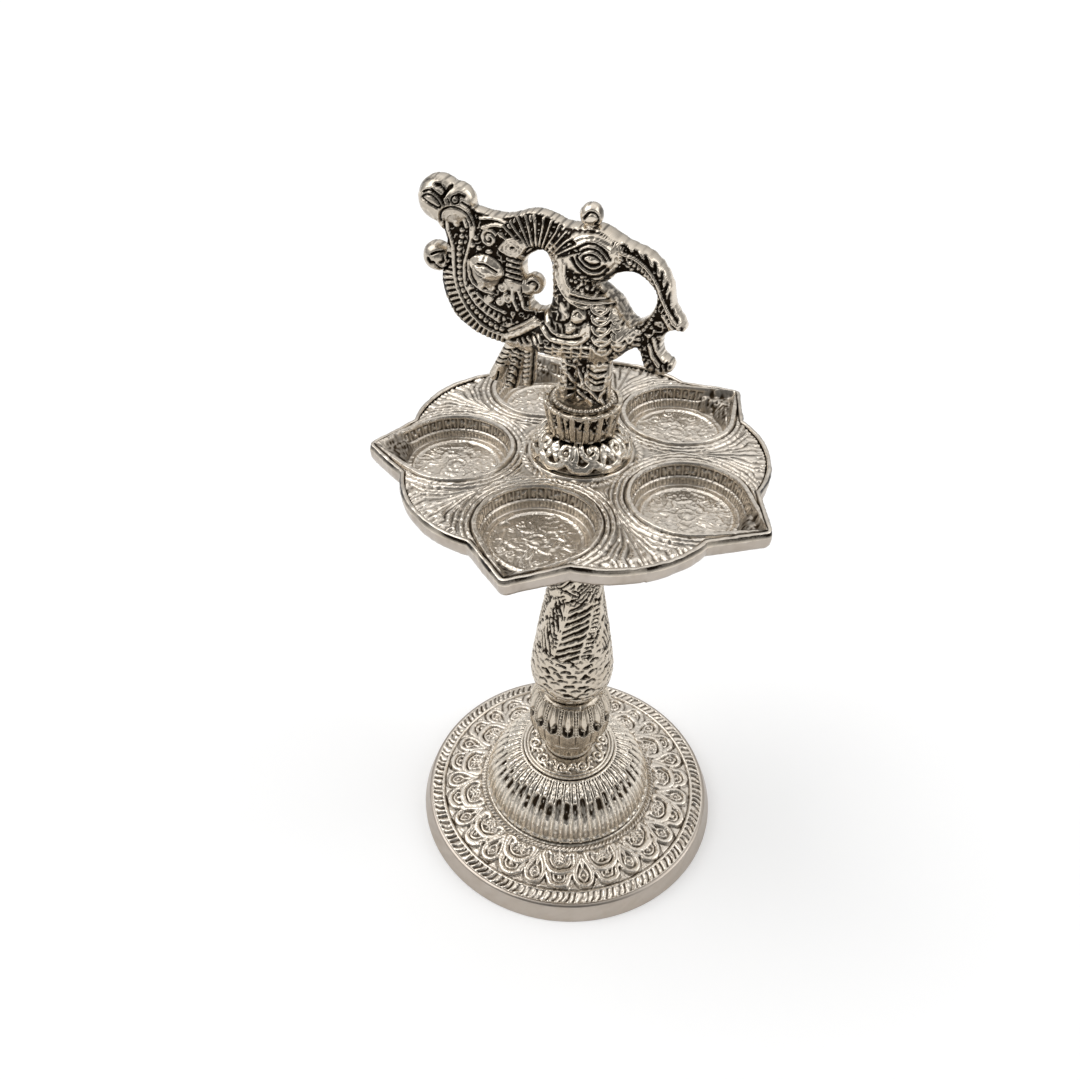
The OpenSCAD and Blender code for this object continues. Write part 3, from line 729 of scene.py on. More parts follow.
def deck_relief(x, y):
    """Rings round the bowls, fans of feathers in the lobes and a rope round the middle."""
    side, y = np.sign(y), np.abs(y)
    r, mouth = np.hypot(x, y), mouth_distance(x, y)
    # a runs out along the middle of a lobe, b from there towards the bowl
    c, s = math.cos(HALF_PITCH), math.sin(HALF_PITCH)
    a, b = x * c + y * s, np.maximum(x * s - y * c, 0)
    sway = noise(a / 4 + 9 * side, b / 3, 42) * smooth(0.0, 1.5, b)
    grain = noise(x / 0.6, y / 0.6, 41) + 0.6 * noise(x / 1.3, y / 1.3, 46)
    lobe = smooth(3.5, 4.3, mouth) * smooth(14.5, 17.5, a)
    h = -0.04 * (1 - lobe) + lobe * feathers(a, b, r, sway) + 0.10 * grain
    for at, w, top in ((1.85, 0.50, 0.34), (3.05, 0.46, 0.30), (4.15, 0.32, 0.22)):
        kept = 1 if at < 4 else smooth(27, 24, a)
        h = over(h, (top + 0.16 * grain) * ridge(mouth - at - 0.12 * sway, w) * kept)
    worn = smooth(-0.3, 0.5, noise(x / 6, y / 6 + 5 * side, 47))
    grooves = 0.14 * soft(mouth - 2.45, 0.28) + 0.2 * soft(mouth - 3.7, 0.30)
    h = h - 0.22 * soft(mouth - 1.3, 0.30) - grooves * worn
    rim = LIP_H * smooth(1.15, 0.75, mouth + 0.16 * noise(x / 1.8, y / 1.8, 43)) + 0.06 * grain
    h = np.maximum(h, np.where(mouth < 1.2, rim, NOTHING))
    off = r - HUB_ROPE_R
    rope = 0.05 + 0.34 * wave(np.degrees(np.arctan2(y, x)) * 60 / 360 + 0.6 * off) * ridge(off, 0.8)
    h = np.where((np.abs(off) < 0.8) & (mouth > 1.4), np.maximum(h, rope), h)
    return over(h, LIP_H * smooth(12.1, 11.7, r))


def make_deck():
    """Five sectors of the tray's top, each round its bowl."""
    counts, rows = (*RIM_COUNTS, 76, 24), 60
    phi, far = sector_edge(LIP_W, HUB_R, counts)
    near = mouth_radius(phi)
    rad = far[:, None] + (near - far)[:, None] * np.linspace(0, 1, rows)
    x, y = round_bowl(phi, rad)
    along_rim = np.abs(fold(np.arange(len(phi)), len(phi)))[:, None] <= sum(RIM_COUNTS)
    # a shallow groove just inside the lip, darkened with painted shadow along the rim
    lip_groove_shadow = smooth(0.55, 0.2, far[:, None] - rad) * along_rim
    h = deck_relief(x, y) - 0.20 * lip_groove_shadow
    dark = np.maximum(hollows(h, 5, span=0.45, sunk=(-0.20, -0.50)), 0.9 * lip_groove_shadow)
    for k in range(BOWLS):
        points = np.c_[turned(np.stack([x, y], -1), k), PLATE_TOP_Z + h.ravel()]
        piece(f"tray_deck_{k + 1}", points, [grid_faces(*x.shape, True)], dark, PALE, "tray", ["lamp_tray"])
    return phi, near


def bowl_wall(angle, deep):
    """A band of carved panels under the lip, each with a leaning bar and a dot, and fine ribs below."""
    turn = angle * PANELS / 360
    number, place = np.floor(turn + 0.5), fold(turn, 1.0)
    band = smooth(0.6, 0.8, deep) * smooth(2.9, 2.7, deep)
    lean = 0.20 * np.sin(number * 5.1)
    bar = ridge(place - lean * (deep - 1.7), 0.16) * smooth(0.9, 1.1, deep) * smooth(2.6, 2.4, deep)
    off = (place - 0.22 * np.sign(np.sin(number * 3.7))) * 1.75
    dot = ridge(np.hypot(off, deep - 1.75 - 0.5 * np.sin(number * 7.7)), 0.34)
    panel = -0.22 + 0.28 * ridge(np.abs(place) - 0.5, 0.13) + 0.26 * np.maximum(bar, dot)
    ribs = 0.14 * wave(angle * 90 / 360 + 0.25 * noise(angle / 9, deep / 2, 51)) * smooth(2.9, 3.3, deep)
    lines = 0.26 * ridge(deep - 0.35, 0.3) + 0.22 * ridge(deep - 3.05, 0.3)
    return band * panel + ribs - 0.1 + lines + 0.08 * noise(angle / 1.5, deep / 0.5, 52)


def bowl_floor(x, y):
    """Ring, middle boss, leaves and curls chased on a bowl's floor."""
    foot = -0.1
    floor = Sheet(x, y, foot + 0.16 * soft(noise(x / 1.5, y / 1.5, 55), 0.25))
    floor.ring(0, 0, 9.7, 0.50, 0.28, foot)
    floor.ring(0, 0, 2.1, 0.34, 0.12, foot)
    floor.ball(0, 0, 1.2, 0.18, foot)
    for k in range(9):
        a, far = math.radians(40 * k + 15 * math.sin(3 * k)), 4.4 + 0.9 * math.sin(5 * k)
        floor.lens(far * math.cos(a), far * math.sin(a), 1.9, 0.7, 77 * k, 0.14, foot, 0.8)
        b, far = a + math.radians(20), 7.2 + 0.8 * math.sin(2 * k)
        size, turns = 1.3 + 0.3 * math.sin(7 * k), 1.1 if k % 2 else -0.9
        floor.spiral(far * math.cos(b), far * math.sin(b), size, turns, 65 * k, 0.28, 0.14)
    return floor.h + 0.07 * noise(x / 0.45, y / 0.45, 54)


def make_bowls(phi, near):
    """Five bowls: a carved wall, a sloping spout with a grainy shelf and a chased floor."""
    rows_wall, rows_floor = 36, 46
    t = np.r_[np.linspace(0, 1, rows_wall), 1 + np.linspace(0, 1, rows_floor + 1)[1:]]
    on_wall = t <= 1
    wall, inner = np.clip(t, 0, 1)[None, :], np.clip(t - 1, 0, 1)[None, :]
    near = near[:, None]
    rad = np.where(on_wall, near + (BOWL_FLOOR_R - near) * wall, BOWL_FLOOR_R * (1 - 0.997 * inner))
    spout = smooth(12.9, 14.5, near)
    shelf = 0.22 * np.sin(np.pi * np.clip(1.35 * wall - 0.35, 0, 1)) * spout
    z = TRAY_TOP_Z - BOWL_DEPTH * np.where(on_wall, wall + 0.10 * np.sin(np.pi * wall) - shelf, 1.0)
    x, y = rad * np.cos(phi)[:, None], rad * np.sin(phi)[:, None]
    grain = 0.22 * noise(x / 0.5, y / 0.5, 53) + 0.2 * noise(x / 1.4, y / 1.4, 56)
    side = bowl_wall(np.degrees(phi)[:, None], BOWL_DEPTH * wall) * (1 - spout) + spout * grain
    side = side * smooth(0.0, 0.04, wall) * smooth(1.0, 0.9, wall)
    h = np.where(on_wall, side, bowl_floor(x, y))
    # the wall's relief points inwards, more and more upwards along the spout
    rad_out = rad - np.where(on_wall, h * (1 - 0.6 * spout), 0)
    z_out = z + np.where(on_wall, h * 0.6 * spout, h)
    # painted shade: the wall darker towards the floor, and the spout darker than the rest of the wall
    shade = 0.12 * smooth(0.1, 0.7, wall) + 0.40 * spout * smooth(0.02, 0.2, wall)
    dark = hollows(h, 4, span=0.34) * np.where(on_wall, 1.0, 0.6) + np.where(on_wall, shade, 0.0)
    xy = np.stack(round_bowl(phi, rad_out), -1)
    for k in range(BOWLS):
        points = np.c_[turned(xy, k), z_out.ravel()]
        piece(f"tray_bowl_{k + 1}", points, [grid_faces(*rad.shape, True)], dark, PALE, "tray", ["lamp_tray"])


def make_rim():
    """Raised lip, a painted shadow line under it and smooth side of the tray, swept along its edge."""
    upper = [(LIP_W, -LIP_H), (1.12, -0.25), (0.95, -0.06), (0.7, 0), (0.42, -0.05), (0.28, -0.15),
             (0.34, -0.34), (0.08, -0.75), (0, -1.5)]  # inset from the edge, height from the top
    lower = [(0, 2.0), (0.1, 1.2), (0.4, 0.45), (0.85, 0.1), (1.3, 0), (2.2, 0.05),
             (RIM_W, 0.3), (RIM_W, 1.6)]
    section = [(inset, TRAY_TOP_Z + h) for inset, h in upper] + [(inset, TRAY_Z + h) for inset, h in lower]
    loops = []
    for inset, z in section:
        half = tray_half(inset, RIM_COUNTS)
        one = np.vstack([half[:0:-1] * [1, -1], half])[:-1]
        loop = np.vstack([turned(one, k) for k in range(BOWLS)])
        if inset < 1:
            # the cast tips are a little round
            mean = np.mean([np.roll(loop, k, 0) for k in range(-6, 7)], 0)
            tip = smooth(44.0, 45.5, np.hypot(*loop.T))[:, None]
            loop = loop * (1 - tip) + mean * tip
        loops.append(np.c_[loop, np.full(len(loop), z)])
    points = np.stack(loops, 1)
    s, v = np.arange(points.shape[0])[:, None] * 0.25, np.arange(len(section))[None, :] * 0.6
    wobble = 0.13 * noise(s / 3.5, v / 2, 61) + 0.08 * noise(s / 0.9, v / 0.7, 62)
    outward = points[..., :2] / np.linalg.norm(points[..., :2], axis=-1)[..., None]
    weight = np.r_[0, 0.6, np.ones(10), 0.8, 0.5, 0.3, 0, 0]
    points[..., :2] += outward * ((wobble - 0.1) * weight)[..., None]
    points[:, 1:6, 2] -= 0.20 * (0.5 + 0.5 * noise(s / 1.7, s * 0, 63))
    dark = np.clip(0.10 + wobble * -1.2, 0, 1)
    # painted shadow: a dark line on the two rows just under the lip
    under_lip_shadow = np.clip(0.85 + 0.5 * noise(s / 4, s * 0, 64), 0.3, 1)
    dark[:, 6:8] = under_lip_shadow * [1, 0.85]
    strips = (("tray_lip", 0, 5, PALE), ("tray_under_lip_shadow", 5, 8, ANTIQUE),
              ("tray_side", 8, len(section) - 1, SHADED_PLATE))
    for name, first, last, material in strips:
        strip = points[:, first:last + 1]
        faces = grid_faces(*strip.shape[:2], True)[:, ::-1]
        piece(name, strip.reshape(-1, 3), [faces], dark[:, first:last + 1], material, "tray", ["lamp_tray"])


def make_tray_underside():
    """Cast underside: cups of the bowls, their spouts, the plate between and the hub."""
    phi, far = sector_edge(RIM_W, HUB_FOOT_R, (20, 20, 24, 8))
    cup, cup_r, flat = np.minimum(mouth_radius(phi) + 1.0, far - 0.2), 11.0, 0 * phi
    plate_z, cup_z = TRAY_Z + 1.5, FLOOR_Z - 1.6
    steps = np.linspace(0, 1, 9)[1:]
    rings = [(cup_r * t + flat, cup_z + flat) for t in np.linspace(0.01, 1, 10)]
    rings += [(cup_r + (cup - cup_r) * t, cup_z + (plate_z - cup_z) * t ** 1.3 + flat) for t in steps]
    rings += [(cup + (far - cup) * t, plate_z + flat) for t in steps]
    rad, z = np.stack(rings, -1)
    x, y = round_bowl(phi, rad)
    skin = 0.08 * noise(x / 1.6, y / 1.6, 71) + 0.05 * noise(x / 0.6, y / 0.6, 72)
    xy, z = np.stack([x, y], -1), (z + skin).ravel()
    points = [np.c_[turned(xy, k), z] for k in range(BOWLS)]
    faces = [grid_faces(*x.shape, True, k * x.size) for k in range(BOWLS)]
    shade = np.tile(np.clip(0.25 - 2.5 * skin, 0, 1).ravel(), BOWLS)
    piece("tray_underside", np.vstack(points), [np.vstack(faces)], shade, SHADED_PLATE, "tray", ["lamp_tray"])
    hub = np.vstack([
        [[BORE_R, TRAY_T], [BORE_R, 0]], resample([[2.8, 0], [12.7, 0]], 14),
        curve([[12.9, 0.05], [HUB_FOOT_R, 0.4], [13.05, 1.6]], 4)]) + [0, TRAY_Z]
    revolve("tray_hub", hub, (SHADED_PLATE, "tray", ["lamp_tray"]), cast_skin(73), around=160, span=0.12)


phi, near = make_deck()
make_bowls(phi, near)
make_rim()
make_tray_underside()


# Rosette, pedestal and the bird's plinth

ROSETTE_LINES = [  # half width, top, points: wavy band, stalk, curled leaf
    (0.78, 0.50, [[-7.2, 1.9], [-6, 1.6], [-4.2, 1.9], [-2.6, 2.8], [-1.2, 2.3], [0, 1.7], [1.4, 1.8],
                  [2.9, 2.7], [4.4, 2.1], [6, 1.6], [7.2, 1.9]]),
    (0.66, 0.42, [[-0.9, 2.6], [-0.6, 3.8], [-0.9, 5.0], [-1.2, 5.8]]),
    (0.68, 0.46, [[0.3, 5.7], [0.6, 4.6], [1.4, 3.9], [2.4, 3.6], [3.6, 4.0], [3.9, 5.0],
                  [3.0, 5.5], [2.2, 5.0]])]


def rosette_flowers(angle, r, z):
    """A wavy thick band, flowers and leaves in turn, over a plain lip."""
    h, foot = z - ROSETTE_Z, -0.5
    v = np.arctan2(np.clip(h - 1.4, 0, None) / 4.3, np.clip(r - 7.8, 1e-6, None) / 3.4) * 3.85
    v = v + np.minimum(h - 1.4, 0)
    s = Sheet(arc_length(fold(angle, PITCH), 9.6), 1.7 + 0.70 * v + 0.2 * noise(angle / 9, v, 82), foot)
    for w, top, points in ROSETTE_LINES:
        s.line(points, w, top, foot)
    s.ring(-3.0, 4.3, 1.2, 0.60, 0.42, foot)
    s.ball(-3.0, 4.2, 0.55, 0.46, foot)
    s.lens(5.6, 4.3, 2.1, 1.0, 65, 0.46, foot, 0.6)
    s.lens(-5.5, 4.3, 2.0, 0.95, 120, 0.46, foot, 0.6)
    flat_top = np.minimum(s.h, 0.20 + 0.25 * (s.h - 0.20))
    return np.where(h < 0.3, -0.1, flat_top) + 0.12 * noise(angle / 4, v / 0.6, 81)


def pedestal_flutes(angle, r, z):
    """Smooth bars and panels in turn, the panels knobbed and dark at the top, under a wavy rim."""
    h = z - PEDESTAL_Z
    turn = angle * 17 / 360 + 0.06 * noise(angle / 8, h / 4, 94)
    p, q = np.abs(fold(turn, 1.0)), np.abs(fold(turn + 0.5, 1.0))
    out = np.where(p < 0.27, -0.06 + 0.20 * ridge(p, 0.29) - 0.12 * soft(p, 0.05), -0.20)
    knobs = -0.72 + 0.62 * smooth(0.12, 0.5, noise(turn * 6.5, h / 0.6, 95))
    out = np.where((q < 0.33) & (h > 3.0 + 0.8 * np.sin(5 * np.floor(turn + 0.5))), knobs, out)
    out -= 0.34 * soft(p - 0.28, 0.06)
    wavy = 6.5 + 0.34 * np.cos(2 * np.pi * turn)
    scallop = 0.30 * soft(p, 0.36) - 0.10
    out = np.where(h > wavy, scallop * smooth(wavy, wavy + 0.25, h), out * smooth(0.1, 0.5, h))
    out = np.where((r < 7.4) & (h > 6.4), -0.34 + 0.10 * noise(angle / 4, r, 91), out)
    return out + 0.05 * noise(angle / 4, h / 0.6, 92)


def plinth_beads(angle, r, z):
    """Ring of beads on top of the plinth."""
    q = np.hypot(arc_length(fold(angle, 360 / 34), 6.3), r - 6.2)
    h = np.where(r > 5.5, 0.42 * ridge(q, 0.55), -0.1) * (z > BIRD_Z + 0.6)
    return h + 0.05 * noise(angle / 6, r / 0.6, 93)


def make_rosette_and_pedestal():
    t = np.radians(np.linspace(0, 90, 56))
    rosette = np.vstack([
        [[9.0, 0.0], [10.6, 0.0]], resample([[10.9, 0.2], [11.1, 0.6], [11.15, 1.0], [11.2, 1.3]], 9),
        np.c_[7.8 + 1.7 * (np.cos(t) + 1 - np.sin(t)), 1.4 + 4.3 * np.sin(t)], [[7.2, 5.7], [5.0, 5.7]]])
    look = (AGED, "tray", ["rosette_collar"])
    revolve("rosette_flowers", rosette + [0, ROSETTE_Z], look, rosette_flowers, 600, 5, 0.7, (-0.26, -0.58))
    pedestal = np.vstack([
        [[5.0, 0.0]], resample([[7.0, 0.0], [7.25, 0.1], [7.3, 0.4], [8.4, 6.2], [8.45, 6.9]], 56),
        curve([[8.4, 7.1], [8.15, 7.3], [7.7, 7.3], [7.3, 7.15], [7.15, 6.85]], 4),
        resample([[7.0, 6.8], [4.0, 6.8]], 6)])
    look = (OLIVE, "finial", ["finial_pedestal"])
    revolve("pedestal_flutes", pedestal + [0, PEDESTAL_Z], look, pedestal_flutes, 680, 6, 0.5, (-0.26, -0.5))
    plinth = np.vstack([
        [[3.0, 0.02]], curve([[6.5, 0.02], [6.6, 0.2], [6.6, 0.7], [6.5, 0.8]], 4),
        resample([[6.45, 0.85], [5.4, 0.95], [0.05, 1.1]], 26)])
    revolve("peacock_plinth", plinth + [0, BIRD_Z], (ANTIQUE, "finial", ["peacock"]), plinth_beads)


make_rosette_and_pedestal()


# Peacock, drawn in its own plane: x along the bird, y up from its plinth

PLATE = 2.7  # half thickness of the flat parts
LEAN_X, LEAN_Y = 0.363, 0.4545  # how far the chasing of the swelling parts leans with their depth
BIRD = [
    [-15, 10], [-21, 10.6], [-25.5, 12], [-29.4, 15], [-31.4, 19], [-32, 23], [-31, 27], [-30.5, 32],
    [-33, 35], [-33.3, 39], [-30.3, 41], [-27.4, 39.6], [-23.6, 38], [-17.6, 37.6], [-11.6, 39.5],
    [-7.6, 39.1], [-4, 38], [2, 38.6], [5.4, 37.4], [8.4, 36.2], [12.4, 35], [15.4, 32.6], [17.4, 29.2],
    [18.2, 25.6], [20.6, 22], [20.6, 20.7], [18, 20.4], [16.4, 18], [16.8, 14.8], [19, 13.4],
    [19, 11.7], [16.5, 10.4], [13.3, 11.4], [11.8, 15], [10, 14.5], [5.8, 11], [-1.2, 10], [-8.2, 9.6]]
GAPS = [
    [[-13, 29.6], [-9.2, 32], [-7.2, 29.2], [-7.2, 21.6], [-10, 19.4], [-12, 20.4], [-11, 23.6],
     [-13.2, 25.6]],
    [[2.8, 27.8], [6.4, 30], [9.6, 30.8], [12.6, 29.6], [14.4, 27.4], [14.3, 24.7], [12.8, 22], [10.4, 20.6],
     [9, 21.8], [7.1, 24.4], [5, 25.8]]]
FULL_BODY = [
    [-6.6, 35.5], [-4.5, 38], [1, 38.6], [5.6, 37], [7, 34], [5.6, 31], [3.6, 28.4], [5.4, 26.2],
    [8.2, 24.2], [10.4, 21], [11.4, 17.5], [10.4, 14.4], [7, 11.6], [2, 10.2], [-4, 9.8], [-9, 10],
    [-11.6, 11.6], [-11.2, 15], [-9.2, 18.8], [-7.4, 22], [-7.2, 26], [-7, 31]]
BALLS = [  # x, y, radius: two of the knob, buds, egg, crest and last the head
    (-31.8, 38.8, 4.6), (-28.2, 38.4, 4.0), (-33.3, 26.5, 3.1), (-21.1, 25.8, 3.6), (-11.4, 24.4, 2.2),
    (0.2, 40.2, 2.3), (1.5, 32.4, 5.2)]
STRANDS = [  # top, foot, radius: three under the tail, then the legs
    ([-16, 10.5], [-20.4, 1.6], 1.6), ([-14.4, 10.5], [-16.8, 0.2], 1.6), ([-12.2, 10.5], [-12.7, 2], 1.6),
    ([-3, 11], [-3.6, 0.6], 2.0), ([3.6, 11.5], [3.4, 0.6], 2.5), ([0.2, 10], [0, 1], 1.8)]

KNOB_CUTS = [  # half width, depth, points, as seen from the front
    # leaf, its eyes and stalks
    (0.50, 0.7, [[-32.4, 40.7], [-31.6, 40.6], [-30.8, 40.2], [-30.5, 39.6], [-30.7, 38.7]]),
    (0.50, 0.7, [[-29.3, 41], [-29.8, 40.2], [-30.4, 39.2], [-30.7, 38.6]]),
    (0.36, 0.6, [[-33.3, 39.8], [-32.6, 39.3], [-31.5, 38.7], [-30.8, 38.6]]),
    (0.75, 0.6, [[-32.4, 40.8], [-31.7, 40.8]]), (0.70, 0.6, [[-29.4, 41.1], [-29.3, 40.8]]),
    (0.32, 0.5, [[-31, 38.2], [-30.5, 36.9]]), (0.32, 0.5, [[-29.8, 38.4], [-29.5, 37.3]]),
    # ring with a dot, lens and the arches below
    (0.34, 0.6, [[-29.2, 38.3], [-28.7, 39], [-28, 39.2], [-27.5, 38.7], [-27.7, 37.9], [-28.5, 37.5],
                 [-29.2, 38.1]]),
    (0.60, 0.6, [[-27.6, 39.6], [-26.6, 39.3]]), (0.34, 0.5, [[-28.4, 38.4], [-28.2, 38.2]]),
    (0.38, 0.6, [[-35.4, 38], [-34.4, 38.5], [-33.2, 38.4], [-32, 37.6], [-31.4, 36.6], [-31.9, 36.2],
                 [-32.9, 36.5], [-34.3, 37.1], [-35.4, 37.8]]),
    (0.38, 0.6, [[-35.2, 38.9], [-34, 39.4], [-32.6, 39], [-31.4, 38.1], [-30.8, 37.1]]),
    (0.42, 0.7, [[-31.7, 33.8], [-31.5, 35.1], [-30.6, 36.2], [-28.8, 36.9], [-27.1, 36.7], [-25.7, 35.7],
                 [-24.8, 33.9]]),
    (0.50, 0.7, [[-26.9, 38], [-25.7, 37.4], [-24.8, 36.5], [-24.3, 35.1]]),
    # curls of the buds and of the crest
    (0.42, 0.7, [[-34.5, 26.3], [-33.4, 26.9], [-31.9, 27.4], [-31, 27], [-30.9, 25.8]]),
    (0.60, 0.7, [[-35.2, 25.3], [-34.7, 24.6], [-34, 24.6]]),
    (0.36, 0.6, [[-32.1, 26.6], [-31.8, 25.5], [-32.6, 24.8]]),
    (0.42, 0.7, [[-33.5, 24.1], [-32.3, 23.6], [-31, 24.3], [-30.2, 25.5]]),
    (0.40, 0.6, [[-12.8, 24], [-11.8, 24.6], [-10.8, 24], [-11.2, 23]]),
    (0.45, 0.6, [[-1.4, 39], [-0.4, 40.2], [0.8, 40.2], [1.5, 39.2], [0.8, 38.2]])]
BIRD_LINES = [  # half width, top, points
    # tail: edge of the knob, hooked plume under it, lines beside the bead row, line round the egg, arcs
    (0.45, 0.16, [[-35.6, 39.6], [-33, 41.4], [-30, 40.8], [-27.6, 38.6]]),
    (0.40, 0.14, [[-35, 38.4], [-32.6, 38], [-31, 36.6]]),
    (0.40, 0.14, [[-35.3, 37.2], [-33.2, 36.6], [-32, 35.4]]),
    (0.65, 0.22, [[-31, 32.4], [-30.8, 35.4], [-29.7, 37.4], [-27.4, 38.3], [-25.2, 37.5], [-24, 35.2],
                  [-24.1, 33]]),
    (0.38, 0.12, [[-29.5, 33.4], [-29.3, 35.6], [-27.8, 36.9], [-26, 36.4], [-25.2, 34.6]]),
    (0.36, 0.12, [[-29.3, 33], [-28.6, 30.5], [-28.5, 26.6], [-28.3, 22.9], [-27.1, 19.3], [-25.3, 16.5],
                  [-23, 14.4], [-20.3, 13.1], [-17.4, 12.6]]),
    (0.36, 0.12, [[-24.1, 33], [-25, 30], [-26, 26.6], [-26.1, 23.4], [-25.3, 20.9], [-23.3, 18.4],
                  [-21, 16.8], [-18.4, 15.6]]),
    (0.36, 0.12, [[-25, 27.6], [-25, 25], [-24.2, 23.2], [-22.4, 22], [-19.8, 21.6]]),
    (0.36, 0.12, [[-23.2, 20.8], [-21.4, 19.4], [-19.2, 18.4], [-17, 17.8]]),
    (0.42, 0.16, [[-21.7, 35], [-18.7, 36], [-15.6, 35.6], [-13.6, 34.1], [-12.6, 32.7]]),
    (0.36, 0.12, [[-22.2, 36.8], [-19.5, 37.3], [-16.5, 36.8]]),
    (0.45, 0.14, [[-14, 23.2], [-13.2, 21.2], [-12.6, 19.6], [-11, 19.8]]),
    (0.40, 0.12, [[-15.4, 23.5], [-15.2, 21], [-14.2, 19]]),
    (0.75, 0.24, [[-16.8, 12.4], [-13.2, 14.5], [-9.6, 17.2]]),
    (0.40, 0.12, [[-16.2, 14], [-13, 16], [-10.4, 18]]),
    # head: brows, cheek, crown and the ties of the trailing plume
    (0.50, 0.20, [[-2.8, 33.6], [-0.6, 35.2], [2, 35.9], [4.6, 35.2], [6, 34]]),
    (0.50, 0.20, [[-3.4, 34.6], [-1, 36.5], [2, 37.2], [5, 36.4]]),
    (0.45, 0.18, [[-1.6, 31.2], [1, 29.8], [3.4, 30], [5.2, 31]]),
    (0.40, 0.14, [[-0.6, 29.6], [1.6, 28.9], [3.6, 29.2]]),
    (0.50, 0.20, [[-2.6, 38.2], [0, 38.6], [3, 38.4], [6, 37]]),
    (0.38, 0.14, [[6, 32.8], [6, 35.8]]), (0.38, 0.14, [[6.9, 32.8], [6.9, 35.8]]),
    (0.40, 0.16, [[17, 24.8], [18.6, 23], [19.8, 21.6]]),
    (0.40, 0.16, [[16.4, 23.8], [17.8, 22], [18.8, 21]]),
    # neck: plain strap between two edges, collar of two rows
    (0.80, 0.0, [[-5.2, 31], [-5, 28.5], [-4.4, 26.6], [-3.3, 24.9], [-1.8, 24.2]]),
    (0.34, 0.20, [[-4.2, 30.6], [-4.1, 28.4], [-3.6, 27], [-2.4, 25.3]]),
    (0.50, 0.26, [[-2.4, 25.1], [-0.5, 24.9], [2.3, 25], [5.6, 25.9], [7.2, 26.7]]),
    (0.34, 0.20, [[-6, 29], [-5.7, 27.4], [-4.7, 25.4], [-3.3, 23.7], [-1.7, 22.8], [0.2, 22.5],
                  [1.5, 22.9]]),
    (0.42, 0.20, [[-3, 23.9], [-0.4, 23.5], [2.4, 23.8], [5.6, 24.7], [8.3, 25.9]]),
    # wing: its edge, rolled feathers and small feathers behind them
    (0.55, 0.24, [[-8.6, 16.4], [-6.8, 14.4], [-3.6, 14.2], [-0.7, 14.7], [1.3, 16.7], [1.5, 18.8]]),
    (0.36, 0.16, [[-7.6, 17.5], [-5.6, 15.7], [-2.7, 15.6], [-0.2, 16.6]]),
    (0.45, 0.16, [[-7.5, 23.2], [-7.9, 20.6], [-7.6, 17.5]]),
    (0.55, 0.02, [[-4.6, 22.2], [-3.7, 20.7], [-3.1, 19.8]]),
    (0.70, 0.22, [[6.1, 21.9], [8, 22.7], [10.1, 23.6]]),
    (0.50, 0.22, [[7.5, 17.3], [9.3, 19.4]]), (0.42, 0.18, [[6.6, 15.4], [8.6, 17.2]]),
    # claws
    (0.45, 0.16, [[15, 18.6], [16, 16], [17.6, 14.2]]), (0.45, 0.16, [[14.2, 17], [15, 14.8], [16.4, 13]]),
    # legs and feet: two plain shafts, a lace between them and spread toes
    (1.15, 0.06, [[-4.4, 11], [-4.1, 7], [-3.9, 1]]), (2.4, 0.06, [[3.7, 11.5], [3.5, 6.6]]),
    (0.40, 0.12, [[-3, 6.9], [-1.4, 5], [0.7, 4.3], [2.8, 3.5], [4.7, 1.7]]),
    (0.40, 0.12, [[-3, 3.4], [-0.8, 3.3], [1.1, 2.1], [2.9, 1.3]]),
    (0.36, 0.12, [[-2.8, 1.2], [-1.3, 1.9], [0.2, 1.3], [1.7, 0.7]]),
    (0.40, 0.10, [[-2.9, 9], [-1.2, 8.6], [0.1, 6.6], [0.6, 4.6]]),
    (0.36, 0.12, [[5.6, 4.6], [4.6, 3], [5.6, 1.2]]),
    (0.36, 0.28, [[1.3, 7.6], [1.5, 5.3], [3.4, 4.5], [5.5, 5.4], [5.9, 8.2]])]
BIRD_CUTS = [  # half width, depth, points
    # the egg's slit and leaf
    (0.60, 0.9, [[-22.6, 27.6], [-20.8, 27.6], [-18.6, 26.6]]),
    (0.36, 0.6, [[-23.6, 27], [-22.6, 26], [-21.2, 25.4]]),
    (0.34, 0.5, [[-23.8, 26.2], [-22.8, 25.2], [-21.8, 24.8]]),
    # hollows and marks of the wing, groove of the collar
    (0.36, 0.6, [[-1.6, 20.7], [-0.9, 21.3], [-0.1, 20.7]]),
    (1.25, 0.26, [[-5.6, 22.6], [-6.2, 20.8], [-5.2, 19.5]]),
    (0.42, 0.45, [[-5.8, 18.6], [-3.9, 18.4], [-2.6, 19.8], [-2.4, 22]]),
    (0.32, 0.45, [[-6.6, 18.3], [-6.2, 17]]),
    (0.32, 0.45, [[-5.3, 17.8], [-5, 16.4]]), (0.32, 0.45, [[-4, 17.8], [-3.8, 16.3]]),
    (0.34, 0.5, [[1.4, 23.1], [1.7, 19.6], [1.9, 17]]),
    (0.34, 0.5, [[-2.1, 18.9], [-1.3, 18.5], [-0.3, 18.8], [0.5, 19.8]]),
    (0.34, 0.6, [[-2.6, 24.4], [-0.5, 24.1], [2.4, 24.4], [5.6, 25.3], [7.6, 26.2]]),
    # bands and nicks on the legs
    (0.42, 0.6, [[1.8, 8.7], [3.4, 8.3], [5.5, 9.1]]), (0.45, 0.6, [[2.1, 7.1], [3.6, 6.7], [5.2, 7.4]]),
    (0.45, 0.6, [[2.3, 5.9], [3.6, 5.5], [5, 6.2]]), (0.40, 0.5, [[3.9, 10.9], [4.5, 11]]),
    (0.40, 0.5, [[5.3, 11.1], [5.9, 11.3]]), (0.30, 0.5, [[1.6, 10.2], [2.6, 10.5]]),
    (0.32, 0.5, [[-5, 8.6], [-3.6, 8.9]]),
    (0.32, 0.5, [[-5.1, 6.2], [-3.7, 6.4]]), (0.30, 0.5, [[-5.1, 4], [-3.7, 4.1]])]
